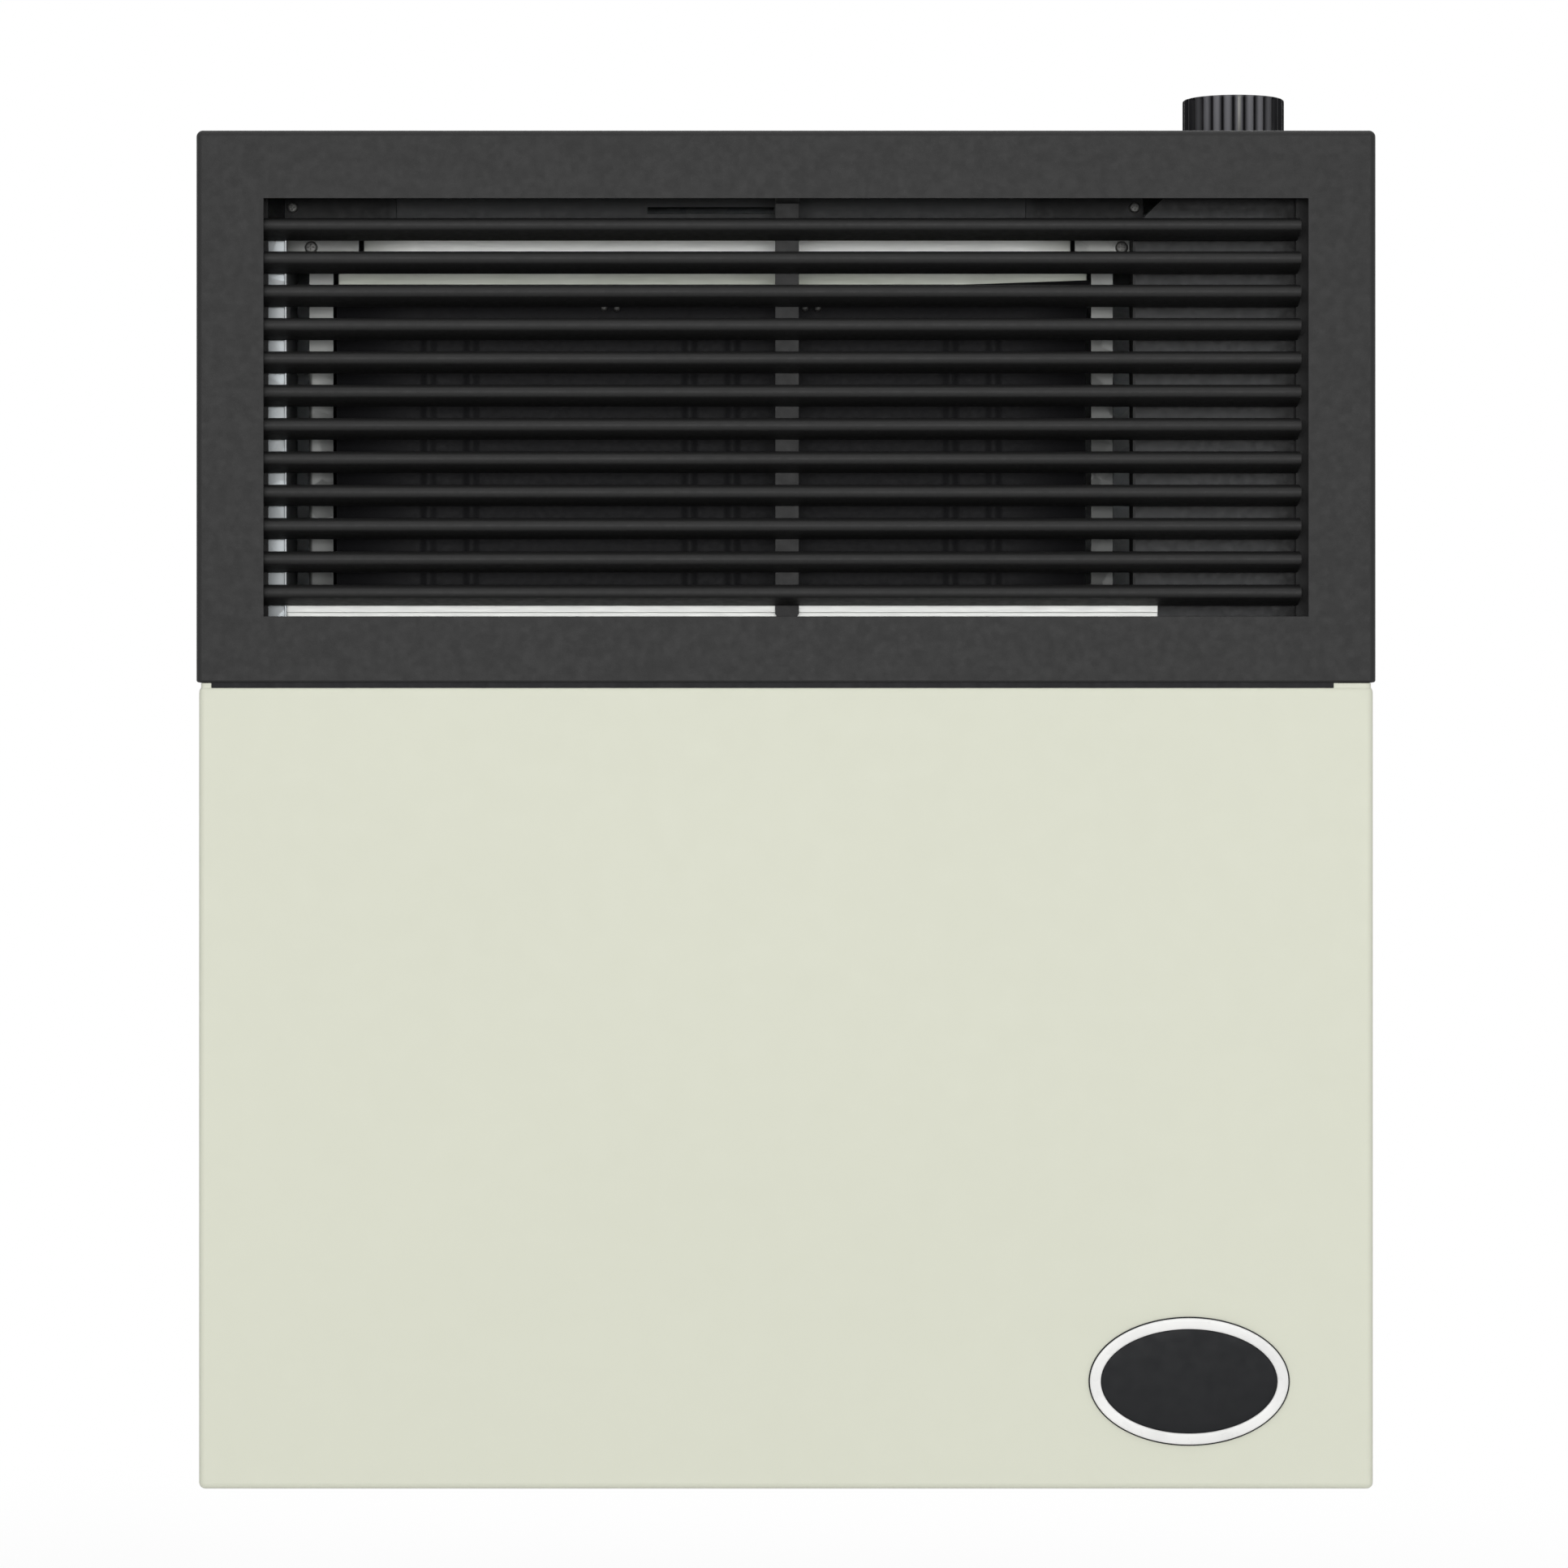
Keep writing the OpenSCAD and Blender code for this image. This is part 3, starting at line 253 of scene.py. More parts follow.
def moulded(name, colour, rough, spec=0.5, grain=1500, bump=0.12):
    """Moulded plastic, glaze or rubber with a fine skin."""
    finish = Finish(name, Specular_IOR_Level=spec)
    finish.colour(finish.blend(finish.between(finish.noise(35, 3), 0, 1), darker(colour, 0.85), colour))
    finish.roughness(finish.between(finish.noise(150, 3), rough - 0.06, rough + 0.08))
    finish.bump(finish.noise(grain, 2), bump, 0.1 * MM)
    return finish.material


def knob_plastic(name):
    """Black moulded plastic, its ridges painted grey on the side toward the room as a painted highlight.
    """
    finish = Finish(name, Specular_IOR_Level=0.04)
    off_axis = finish.vector("SUBTRACT", finish.place, (KNOB_X * MM, KNOB_Y * MM, 0))
    reach = finish.vector("LENGTH", finish.vector("MULTIPLY", off_axis, (1, 1, 0)))
    ridge = finish.between(reach, 0, 1, 0.0222, 0.0236)
    room_side_highlight = finish.where("Y", KNOB_Y * MM - 0.014, KNOB_Y * MM - 0.0215, 0.001)
    skin = finish.blend(finish.between(finish.noise(60, 3), 0, 1), srgb(26, 26, 28), srgb(31, 31, 33))
    # Painted highlight: light grey on the ridges that face the room
    finish.colour(finish.blend(finish.math("MULTIPLY", ridge, room_side_highlight), skin, srgb(112, 112, 116)))
    finish.roughness(finish.between(finish.noise(150, 3), 0.34, 0.46))
    finish.bump(finish.noise(1700, 2), 0.08, 0.1 * MM)
    return finish.material


def woven_fibre(name):
    finish = Finish(name, Specular_IOR_Level=0.2)
    weave = finish.math("MULTIPLY", finish.waves(260, "X"), finish.waves(260, "Z"))
    finish.colour(finish.blend(weave, srgb(176, 172, 160), srgb(224, 221, 210)))
    finish.roughness(finish.between(weave, 0.95, 0.8, 0, 1))
    finish.bump(weave, 0.6, 0.4 * MM)
    return finish.material


def window_glass(name):
    finish = Finish(name, Transmission_Weight=1.0, IOR=1.47)
    soot = finish.noise(60, 4)
    finish.colour(finish.blend(finish.between(soot, 0, 1), srgb(226, 232, 228), srgb(200, 205, 200)))
    finish.roughness(finish.between(soot, 0.02, 0.12))
    return finish.material


GUARD = srgb(57, 58, 59)
# The shields' stain colour, also the base of their painted shade
SHIELD_STAIN_AND_SHADE = srgb(94, 95, 94)
# Painted light: the rib behind the louvres is painted lighter than the blades, standing in for the light
# that falls on it
RIB_PAINTED_LIGHT = [(
    srgb(54, 54, 54), ("X", 0.0294, 0.0298), ("X", 0.0416, 0.0412),
    ("Y", -0.2013, -0.2009), ("Y", -0.199, -0.1994), ("Z", 0.17, 0.168),
)]
# Painted shade on the dark plates: low on the guard's left edge, at the guard's right end under the hood's
# edge, and at both ends of the deflector's lip
GUARD_PAINTED_SHADE = [
    (darker(GUARD, 0.25), ("X", 0.197, 0.1966), ("Z", 0.1374, 0.137)),
    (darker(GUARD, 0.05), ("X", 0.2585, 0.2675)),
    (darker(GUARD, 0.25), ("X", 0.147, 0.152), ("X", 0.1972, 0.1968), ("Z", 0.139, 0.141)),
    (darker(GUARD, 0.25), ("X", -0.145, -0.151), ("Z", 0.139, 0.141)),
]
# Painted shade on the shields: darker toward the bottom, darker toward the right where the guard shades
# them, and darker at the left one's two edges
SHIELD_PAINTED_SHADE = [
    (darker(SHIELD_STAIN_AND_SHADE, 0.78), ("Z", 0.068, 0.05, 0.002)),
    (darker(SHIELD_STAIN_AND_SHADE, 0.36), ("X", -0.1, 0.25, 0.01), ("Z", 0.13, 0.07, 0.01)),
    (darker(SHIELD_STAIN_AND_SHADE, 0.42), ("X", -0.184, -0.177), ("X", -0.16, -0.165), ("Z", 0.085, 0.065)),
    (darker(SHIELD_STAIN_AND_SHADE, 0.12), ("X", -0.1861, -0.1871), ("Z", 0.085, 0.07)),
]
# Painted shade: the strip at the louvres' left end is darker along its left edge
SHADED = [(srgb(128, 132, 134), ("X", -0.1995, -0.2075, 0.001), ("Y", -0.19, -0.194))]
# The deflector is tinted above the exchanger, and darker there as painted shade; painted shade also
# darkens its ends
DEFLECTOR_TINT_AND_SHADE = [
    (srgb(192, 196, 184), ("Z", 0.05, 0.08), ("Z", 0.134, 0.118, 0.002)),
    (srgb(164, 166, 160), ("X", -0.14, -0.166, 0.002), ("Z", 0.12, 0.13)),
    (srgb(176, 178, 170), ("X", 0.145, 0.175, 0.002), ("Z", 0.12, 0.13)),
]
FINISHES = {
    "hood_black": (coated, srgb(40, 40, 40), 0.52, 1300, 0.22, 0.2, 0.95, RIB_PAINTED_LIGHT),
    "cover_cream": (coated, srgb(222, 224, 207), 0.5, 420, 0.05, 0.25, 0.99),
    "zinc_sheet": (galvanised, srgb(168, 171, 172), srgb(138, 142, 144), srgb(122, 126, 128), SHADED),
    # Painted shade: the shields' dull zinc is a darker copy of the galvanised sheet, for the shade they
    # stand in behind the louvres
    "dull_zinc": (galvanised, srgb(128, 129, 127), srgb(104, 105, 103), SHIELD_STAIN_AND_SHADE, SHIELD_PAINTED_SHADE),
    "dull_screw": (drawn_metal, srgb(122, 122, 120), srgb(100, 100, 98), 0.5, "z", 0.7),
    "aluminised_sheet": (drawn_metal, srgb(251, 252, 250), srgb(243, 245, 241), 0.52, "x", 0.35, DEFLECTOR_TINT_AND_SHADE),
    "guard_black": (coated, GUARD, 0.5, 1500, 0.15, 0.22, 0.94, GUARD_PAINTED_SHADE, True),
    "stove_enamel": (coated, srgb(27, 27, 29), 0.62, 1800, 0.3, 0.2),
    "steel_tube": (drawn_metal, srgb(196, 197, 198), srgb(160, 161, 163), 0.34, "y"),
    "plated_steel": (drawn_metal, srgb(214, 214, 210), srgb(178, 178, 172), 0.24, "z"),
    "brass_fittings": (drawn_metal, srgb(214, 176, 98), srgb(176, 138, 70), 0.26, "z"),
    "copper_tube": (drawn_metal, srgb(206, 138, 100), srgb(158, 92, 62), 0.28, "z"),
    "valve_casting": (cast_metal,),
    "knob_plastic": (knob_plastic,),
    "igniter_plastic": (moulded, srgb(34, 34, 34), 0.45),
    "button_red": (moulded, srgb(168, 30, 22), 0.3),
    "electrode_ceramic": (moulded, srgb(238, 235, 224), 0.3, 0.5, 500, 0.05),
    "window_glass": (window_glass,),
    "gasket_fibre": (woven_fibre,),
    "lead_rubber": (moulded, srgb(34, 34, 35), 0.6, 0.35, 900, 0.2),
    "badge_white": (moulded, srgb(246, 246, 244), 0.3, 0.4, 800, 0.04),
    "badge_black": (moulded, srgb(30, 31, 33), 0.42, 0.1, 900, 0.05),
}
MATERIALS = {name: make(name, *values) for name, (make, *values) in FINISHES.items()}
SLOT_OF = {part["node"]: part["material_slot"] for part in frame["record"]["subparts"]}
for node_name, node_object in frame["nodes"].items():
    node_object.data.materials.clear()
    node_object.data.materials.append(MATERIALS[SLOT_OF[node_name]])


# ---- Shapes ----


def basis(direction):
    """Two directions square to a third, and the third."""
    along = Vector(direction).normalized()
    side = Vector((1, 0, 0)) if abs(along.z) > 0.9 else Vector((0, 0, 1)).cross(along).normalized()
    return side, along.cross(side), along


def turn(steps):
    """The angles of a full turn."""
    return [2 * math.pi * i / steps for i in range(steps)]


def circle(x, y, z, radius, steps):
    """A level circle of points."""
    return [(x + radius * math.cos(a), y + radius * math.sin(a), z) for a in turn(steps)]


def circle_about(centre, side, other, radius, steps):
    """A circle of points in the plane of two directions."""
    return [centre + (side * math.cos(a) + other * math.sin(a)) * radius for a in turn(steps)]


class Shape:
    """A mesh in the making, in millimetres."""

    def __init__(self):
        self.bm = bmesh.new()

    def loop(self, points):
        return [self.bm.verts.new(point) for point in points]

    def face(self, corners):
        distinct = list(dict.fromkeys(corners))
        if len(distinct) > 2:
            self.bm.faces.new(distinct)

    def bridge(self, first, second):
        for i in range(len(first)):
            j = (i + 1) % len(first)
            self.face((first[i], first[j], second[j], second[i]))

    def stack(self, loops):
        for first, second in zip(loops, loops[1:]):
            self.bridge(first, second)

    def loft(self, rings, around=False):
        """Joins rings of points; the ends get a face, unless the rings go round and meet."""
        loops = [self.loop(ring) for ring in rings]
        self.stack(loops)
        if around:
            self.bridge(loops[-1], loops[0])
        else:
            self.face(loops[0])
            self.face(loops[-1])

    def turned(self, profile, at, direction=UP, steps=48, ring=False):
        """Turns (radius, height) pairs about an axis; with ring the profile goes round a bore."""
        side, other, along = basis(direction)
        loops = []
        for radius, height in profile:
            centre = Vector(at) + along * height
            if radius == 0:
                loops.append([self.bm.verts.new(centre)] * steps)
            else:
                loops.append(self.loop(circle_about(centre, side, other, radius, steps)))
        self.stack(loops)
        if ring:
            self.bridge(loops[-1], loops[0])

    def bar(self, at, direction, radius, length, edge=0.4, steps=32):
        """A round bar with small rounded ends."""
        cut = 0.3 * edge
        self.turned([
            (0, 0), (radius - edge, 0), (radius - cut, cut), (radius, edge),
            (radius, length - edge), (radius - cut, length - cut), (radius - edge, length), (0, length),
        ], at, direction, steps)

    def nut(self, at, direction, radius, length, steps=36):
        """A hexagon nut with its corners turned down at both ends."""
        side, other, along = basis(direction)
        flat = radius * math.cos(math.pi / 6)
        edge = 0.16 * radius
        rings = []
        for height, limit in (
            (0, flat * 0.97), (edge * 0.45, radius * 0.96), (edge, radius),
            (length - edge, radius), (length - edge * 0.45, radius * 0.96), (length, flat * 0.97),
        ):
            ring = []
            centre = Vector(at) + along * height
            for a in turn(steps):
                reach = min(flat / math.cos((a % (math.pi / 3)) - math.pi / 6), limit)
                ring.append(centre + (side * math.cos(a) + other * math.sin(a)) * reach)
            rings.append(ring)
        self.loft(rings)

    def tube(self, path, radius, steps=16):
        """A round tube along a path."""
        last = (path[1] - path[0]).normalized()
        side = basis(last)[0]
        rings = []
        for i, point in enumerate(path):
            along = (path[min(i + 1, len(path) - 1)] - path[max(i - 1, 0)]).normalized()
            side = last.rotation_difference(along) @ side
            last = along
            rings.append(circle_about(point, side, along.cross(side), radius, steps))
        self.loft(rings)

    def block(self, low, high):
        """A plain box, for a part whose edges are rounded when it is finished."""
        (x0, y0, z0), (x1, y1, z1) = low, high
        self.loft([[(x0, y0, z), (x1, y0, z), (x1, y1, z), (x0, y1, z)] for z in (z0, z1)])

    def filled(self, outer, holes):
        """A flat face between an outer loop and the loops of its holes."""
        edges = []
        for loop in (outer, *holes):
            for ends in zip(loop, loop[1:] + loop[:1]):
                edges.append(self.bm.edges.get(ends) or self.bm.edges.new(ends))
        bmesh.ops.triangle_fill(self.bm, use_beauty=True, edges=edges)

    def pan_head(self, at, direction, radius, height, steps=32):
        """A screw's round head with a cross recess, standing on a face."""
        side, other, along = basis(direction)
        start = Vector(at)
        loops = []
        for share, level in ((1, 0), (1, 0.4), (0.97, 0.62), (0.88, 0.82), (0.74, 0.95), (0.6, 1)):
            centre = start + along * height * level
            loops.append(self.loop(circle_about(centre, side, other, radius * share, steps)))
        self.stack(loops)
        self.face(loops[0])
        arm, half = 0.5 * radius, 0.1 * radius
        cross = []
        for a in turn(4):
            for u, v in ((half, -half), (arm, -half), (arm, half)):
                cross.append((u * math.cos(a) - v * math.sin(a), u * math.sin(a) + v * math.cos(a)))
        deep, taper = 0.45, 0.8
        top = self.loop([start + along * height + side * u + other * v for u, v in cross])
        floor = self.loop([
            start + along * height * deep + side * u * taper + other * v * taper for u, v in cross
        ])
        self.filled(loops[-1], [top])
        self.bridge(top, floor)
        self.face(floor)

    def done(self, name, slot, nodes, **options):
        """The finished piece, with its faces turned outward."""
        bmesh.ops.remove_doubles(self.bm, verts=self.bm.verts, dist=0.0005)
        bmesh.ops.recalc_face_normals(self.bm, faces=self.bm.faces)
        bmesh.ops.scale(self.bm, vec=(MM, MM, MM), verts=self.bm.verts)
        as_piece(self.bm, name, slot, nodes, **options)


def as_piece(bm, name, slot, nodes, body="cabinet", sharp=32, sheet=0.0, edge=0.0):
    """A piece in metres. sheet gives a surface its thickness; edge rounds its sharp edges."""
    mesh = bpy.data.meshes.new(name)
    bm.to_mesh(mesh)
    bm.free()
    mesh.materials.append(MATERIALS[slot])
    mesh.shade_smooth()
    piece = bpy.data.objects.new(name, mesh)
    bpy.context.scene.collection.objects.link(piece)
    if sheet:
        thick = piece.modifiers.new("sheet", "SOLIDIFY")
        thick.thickness = sheet * MM
        thick.offset = -1
        thick.use_even_offset = True
    if edge:
        bevel = piece.modifiers.new("edge", "BEVEL")
        bevel.width = edge * MM
        bevel.segments = 2
        bevel.limit_method = "ANGLE"
        bevel.angle_limit = math.radians(40)
        piece.modifiers.new("normals", "WEIGHTED_NORMAL").keep_sharp = True
    else:
        mesh.set_sharp_from_angle(angle=math.radians(sharp))
    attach(piece, body)
    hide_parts(*nodes)


def dressed(node, name):
    """A CAD node's shape again, with its sharp edges rounded."""
    bm = bmesh.new()
    bm.from_mesh(frame["nodes"][node].data)
    bmesh.ops.remove_doubles(bm, verts=bm.verts, dist=1e-6)
    bmesh.ops.dissolve_limit(bm, angle_limit=math.radians(1), verts=bm.verts, edges=bm.edges)
    as_piece(bm, name, SLOT_OF[node], [node], edge=0.25)


# ---- Casing ----

LEFT, RIGHT, FRONT, BACK = -235.0, 305.0, -225.0, -3.0
HOOD_Z, TOP_Z, BOTTOM_Z = -70.8, 182.0, -440.0
COVER_LEFT, COVER_RIGHT, COVER_Z = -233.8, 303.8, -73.5
OPEN_LEFT, OPEN_RIGHT, OPEN_LOW, OPEN_HIGH = -204.0, 274.0, -40.6, 150.7
SEAM_LEFT, SEAM_RIGHT = -228.0, 285.7
EDGE_R = 3.0
FOLD_STEPS = 7
SCREW_Y, HOLE_R = -28.0, 2.1
TOP_SCREWS = (-195.0, 35.0, 265.0)
BOTTOM_SCREWS = (COVER_LEFT + 8, COVER_RIGHT - 8)


def fold_columns(x0, x1, inset, x_cuts, side_cuts):
    """One level of a casing seen from above, from the back left round the front to the back right."""
    radius = EDGE_R - inset
    angles = [math.pi * (1 + k / FOLD_STEPS / 2) for k in range(FOLD_STEPS + 1)]
    left = [(x0 + EDGE_R + radius * math.cos(a), FRONT + EDGE_R + radius * math.sin(a)) for a in angles]
    side = [(x0 + inset, y) for y in (BACK, *side_cuts)]
    front = [(x, FRONT + inset) for x in x_cuts]
    half = [*side, *left]
    return [*half, *front, *[(x0 + x1 - x, y) for x, y in reversed(half)]]


def casing_shell(shape, x0, x1, levels, x_cuts, side_cuts, is_gone):
    """A casing's outer surface through (height, inset) levels; gives back the last level's points."""
    loops = []
    for z, inset in levels:
        loop = []
        for x, y in fold_columns(x0, x1, inset, x_cuts, side_cuts):
            again = loop and (loop[-1].co - Vector((x, y, z))).length < 0.001
            loop.append(loop[-1] if again else shape.bm.verts.new((x, y, z)))
        loops.append(loop)
    for low, high in zip(loops, loops[1:]):
        for i in range(len(low) - 1):
            corners = (low[i], low[i + 1], high[i + 1], high[i])
            if not is_gone(sum((corner.co for corner in corners), Vector()) / 4):
                shape.face(corners)
    return list(dict.fromkeys(loops[-1]))


def fold_levels(z_edge, up):
    """The levels of the fold at a casing's closed end."""
    levels = []
    for k in range(FOLD_STEPS + 1):
        a = math.pi / 2 * k / FOLD_STEPS
        levels.append((z_edge - up * EDGE_R * (1 - math.sin(a)), EDGE_R * (1 - math.cos(a))))
    return levels


def make_hood():
    shape = Shape()
    hem = 1.1
    turned_in = [math.radians(a) for a in (70, 48, 24, 0)]
    levels = [(HOOD_Z + hem * (1 - math.sin(a)), hem * (1 - math.cos(a))) for a in turned_in]
    levels[0] = (HOOD_Z, levels[0][1])
    levels += [(OPEN_LOW, 0), (OPEN_HIGH, 0), *fold_levels(TOP_Z, 1)]

    def is_gone(centre):
        across = OPEN_LEFT < centre.x < OPEN_RIGHT and centre.y < FRONT + 1
        return across and OPEN_LOW < centre.z < OPEN_HIGH

    last = casing_shell(shape, LEFT, RIGHT, levels, (OPEN_LEFT, OPEN_RIGHT), (), is_gone)
    holes = [shape.loop(circle(x, SCREW_Y, TOP_Z, HOLE_R, 24)) for x in TOP_SCREWS]
    holes.append(shape.loop(circle(KNOB_X, KNOB_Y, TOP_Z, 6.2, 32)))
    shape.filled(last, holes)
    shape.done("hood_shell", "hood_black", ["hood"], sheet=1.0, edge=0.22)

    # Painted shade: the seam strip, the hood's own flange, takes the darker stove enamel for the shade it
    # lies in
    strip = Shape()
    strip.block((SEAM_LEFT - 2, FRONT + 1.3, COVER_Z - 12), (SEAM_RIGHT + 2, FRONT + 2, HOOD_Z + 6))
    strip.done("seam_strip", "stove_enamel", ["hood"], edge=0.2)


def make_cover():
    shape = Shape()
    lip, corner = 14.0, FRONT + 6
    top = HOOD_Z - 0.3
    edge = COVER_Z + 0.2
    levels = [(top, 0.9), (edge, 0.9), (edge - 0.4, 0.5), (edge - 1.1, 0.2), (edge - 2.4, 0)]
    levels += fold_levels(BOTTOM_Z, -1)

    def is_gone(centre):
        behind = centre.y > corner
        middle = SEAM_LEFT < centre.x < SEAM_RIGHT and centre.y < FRONT + 2
        return centre.z > edge and (behind or middle)

    last = casing_shell(
        shape, COVER_LEFT, COVER_RIGHT, levels, (SEAM_LEFT, SEAM_RIGHT), (corner,), is_gone
    )
    inner = shape.loop([
        (COVER_RIGHT - lip, BACK, BOTTOM_Z), (COVER_RIGHT - lip, FRONT + lip, BOTTOM_Z),
        (COVER_LEFT + lip, FRONT + lip, BOTTOM_Z), (COVER_LEFT + lip, BACK, BOTTOM_Z),
    ])
    holes = [shape.loop(circle(x, SCREW_Y, BOTTOM_Z, HOLE_R, 24)) for x in BOTTOM_SCREWS]
    shape.filled(last + inner, holes)
    shape.done("cover_shell", "cover_cream", ["lower_cover"], sheet=1.0, edge=0.22)


def make_casing_screws():
    shank = 6
    ends = (("top", TOP_SCREWS, TOP_Z, UP), ("bottom", BOTTOM_SCREWS, BOTTOM_Z, DOWN))
    for end, places, z, out in ends:
        for i, x in enumerate(places):
            screw = Shape()
            screw.pan_head((x, SCREW_Y, z), out, 4.0, 2.2)
            screw.bar((x, SCREW_Y, z - out[2] * shank), out, 1.9, shank + 0.1, 0.5, 20)
            screw.done(f"{end}_screw_{i + 1}", "plated_steel", ["casing_screws"])


# ---- Louvres ----


def blade_section():
    """The blade's section in (y, z) from its nose's centre: a lip, a rolled nose and a sloping tail."""
    half, radius, steps = 0.5, 2.0, 20
    up, down = math.radians(10.9), math.radians(9.06)
    lip_end, tail_end = Vector((7.0, 3.9)), Vector((18.0, -5.4))
    lip_normal = Vector((-math.sin(up), math.cos(up)))
    tail_normal = Vector((-math.sin(down), -math.cos(down)))
    centres = [(lip_end - lip_normal * half, lip_normal)]
    for k in range(steps + 1):
        a = math.pi / 2 + up + (math.pi - up - down) * k / steps
        normal = Vector((math.cos(a), math.sin(a)))
        centres.append((normal * radius, normal))
    centres.append((tail_end - tail_normal * half, tail_normal))
    outer = [point + normal * half for point, normal in centres]
    inner = [point - normal * half for point, normal in centres]
    return outer + inner[::-1]


def make_louvres():
    section = blade_section()
    nose_y, first_z, pitch = FRONT + 6, 139.1, 15.33
    left, right = -213.0, 271.2
    for i in range(12):
        z = first_z - i * pitch
        blade = Shape()
        blade.loft([[(x, nose_y + p.x, z + p.y) for p in section] for x in (left, right)])
        blade.done(f"blade_{i + 1:02d}", "hood_black", [f"louvre_{i + 1:02d}"], sharp=40)


# ---- Knob ----


def make_knob():
    base, radius = 188.0, 24.0
    ribs, around = 27, 324
    index = math.radians(2)
    levels = [
        (0.0, 0.5, 1), (0.35, 0.12, 1), (0.9, 0, 1), (17.0, 0, 1), (17.6, 0.02, 0.9),
        (17.98, 0.1, 0.65), (18.25, 0.28, 0.35), (18.42, 0.52, 0.1), (18.5, 0.85, 0),
    ]
    knob = Shape()
    rings = []
    for rise, inset, depth in levels:
        ring = []
        for a in turn(around):
            wave = abs(math.cos((a - index + math.pi / 2) * ribs / 2))
            groove = 2.3 * depth * (1 - wave) ** 1.1
            reach = radius - inset - groove
            ring.append((KNOB_X + reach * math.cos(a), KNOB_Y + reach * math.sin(a), base + rise))
        rings.append(ring)
    for rise, reach in ((18.5, 18.6), (18.35, 18.0), (18.2, 17.4), (18.1, 6.0), (18.08, 0.001)):
        rings.append(circle(KNOB_X, KNOB_Y, base + rise, reach, around))
    loops = [knob.loop(ring) for ring in rings]
    knob.stack(loops)
    # The underside: a skirt, a hollow and the hub with the bore for the rod
    below = [loops[0]]
    for rise, reach in (
        (0, 21.2), (0.3, 21.0), (12.0, 21.0), (12.0, 8.0), (1.5, 8.0), (1.3, 7.6), (1.3, 4.06),
        (15.1, 4.06), (15.1, 0.001),
    ):
        below.append(knob.loop(circle(KNOB_X, KNOB_Y, base + rise, reach, around)))
    knob.stack(below)
    knob.done("knob_body", "knob_plastic", ["knob"], body="knob_stem", sharp=38)

    mark = Shape()
    side = Vector((math.cos(index), math.sin(index), 0))
    out = Vector((math.sin(index), -math.cos(index), 0))
    axis = Vector((KNOB_X, KNOB_Y, base))
    half, flat = 0.8, 0.56
    across = ((-half, 0.9), (-half, 0.12), (-flat, 0), (flat, 0), (half, 0.12), (half, 0.9))
    rings = []
    for rise, reach in (
        (1.2, 24.0), (1.4, 24.12), (17.3, 24.12), (17.7, 24.06), (18.05, 23.9), (18.3, 23.65),
    ):
        start = axis + Vector((0, 0, rise))
        rings.append([start + side * u + out * (reach - back) for u, back in across])
    mark.loft(rings)
    mark.done("knob_mark", "dull_screw", ["knob"], body="knob_stem")


# ---- Badge ----

BADGE_X, BADGE_Z = 219.4, -390.5
BADGE_HALF_WIDTH, BADGE_HALF_HEIGHT = 46, 29.5


def oval_rings(profile, steps=144):
    """Rings of an oval, through (inset, height above the cover's face) pairs."""
    rings = []
    for inset, rise in profile:
        wide, high, y = BADGE_HALF_WIDTH - inset, BADGE_HALF_HEIGHT - inset, FRONT - rise
        rings.append([
            (BADGE_X + wide * math.cos(a), y, BADGE_Z + high * math.sin(a)) for a in turn(steps)
        ])
    return rings


def make_badge():
    edge = Shape()
    edge.loft(oval_rings([
        (0, 0), (0, 0.85), (0.12, 0.98), (0.3, 1.0), (0.7, 1.0), (0.7, 0),
    ]), around=True)
    edge.done("badge_edge", "badge_black", ["badge_rim"])
    rim = Shape()
    rim.loft(oval_rings([
        (0.6, 0), (0.6, 1.02), (0.75, 1.24), (1.1, 1.38), (1.6, 1.4), (4.6, 1.4),
        (5.1, 1.36), (5.45, 1.2), (5.6, 0.95), (5.6, 0),
    ]), around=True)
    rim.done("badge_frame", "badge_white", ["badge_rim"])
    field = Shape()
    field.loft(oval_rings([
        (5.65, 0), (5.65, 0.7), (5.85, 0.82), (6.5, 0.88), (10, 0.98), (16, 1.08), (23, 1.13),
        (29.4, 1.15),
    ]))
    field.done("badge_field", "badge_black", ["badge_plate"])


# ---- Heat exchanger ----


def make_exchanger_front():
    """The front plate, with its pressed ribs, its slightly bent top and the way to the burner."""
    y = -172.0
    half, low, high = 175.0, -338.0, 116.2
    ribs = (-132, -112, -10, 10, 112, 132)
    bent_from, bent_up, bent_out = 120, 2.0, 2.0
    rib_low, rib_high, width, rise = -205.0, 92.0, 4.6, 1.8
    way_half, way_low, way_high = 60, -308, -242
    steps = 6
    xs = {-half, half, -way_half, way_half}
    for rib in ribs:
        xs.update(rib + width * k / steps for k in range(-steps, steps + 1))
    zs = {low, high, way_low, way_high}
    for end, sign in ((rib_low, -1), (rib_high, 1)):
        zs.update(end + sign * width * k / steps for k in range(steps + 1))
    xs, zs = sorted(xs), sorted(zs)
    plate = Shape()
    rows = []
    for z in zs:
        row = []
        for x in xs:
            bent = max(0, x - bent_from) / (half - bent_from) if z == high else 0
            off = min(math.hypot(x - rib, max(rib_low - z, 0, z - rib_high)) for rib in ribs)
            share = max(0, 1 - off / width)
            front = y - rise * share * share * (3 - 2 * share)
            row.append((x + bent_out * bent ** 4, front, z + bent_up * bent))
        rows.append(plate.loop(row))
    for lower, upper, z0, z1 in zip(rows, rows[1:], zs, zs[1:]):
        for i in range(len(xs) - 1):
            if not (-way_half <= xs[i] < way_half and way_low <= z0 < way_high):
                plate.face((lower[i], lower[i + 1], upper[i + 1], upper[i]))
    for face in plate.bm.faces:
        face.normal_update()
        if face.normal.y > 0:
            face.normal_flip()
    bmesh.ops.scale(plate.bm, vec=(MM, MM, MM), verts=plate.bm.verts)
    as_piece(plate.bm, "exchanger_front", "stove_enamel", ["firebox_front"], sharp=50, sheet=1.9)


# ---- Small fixings inside ----


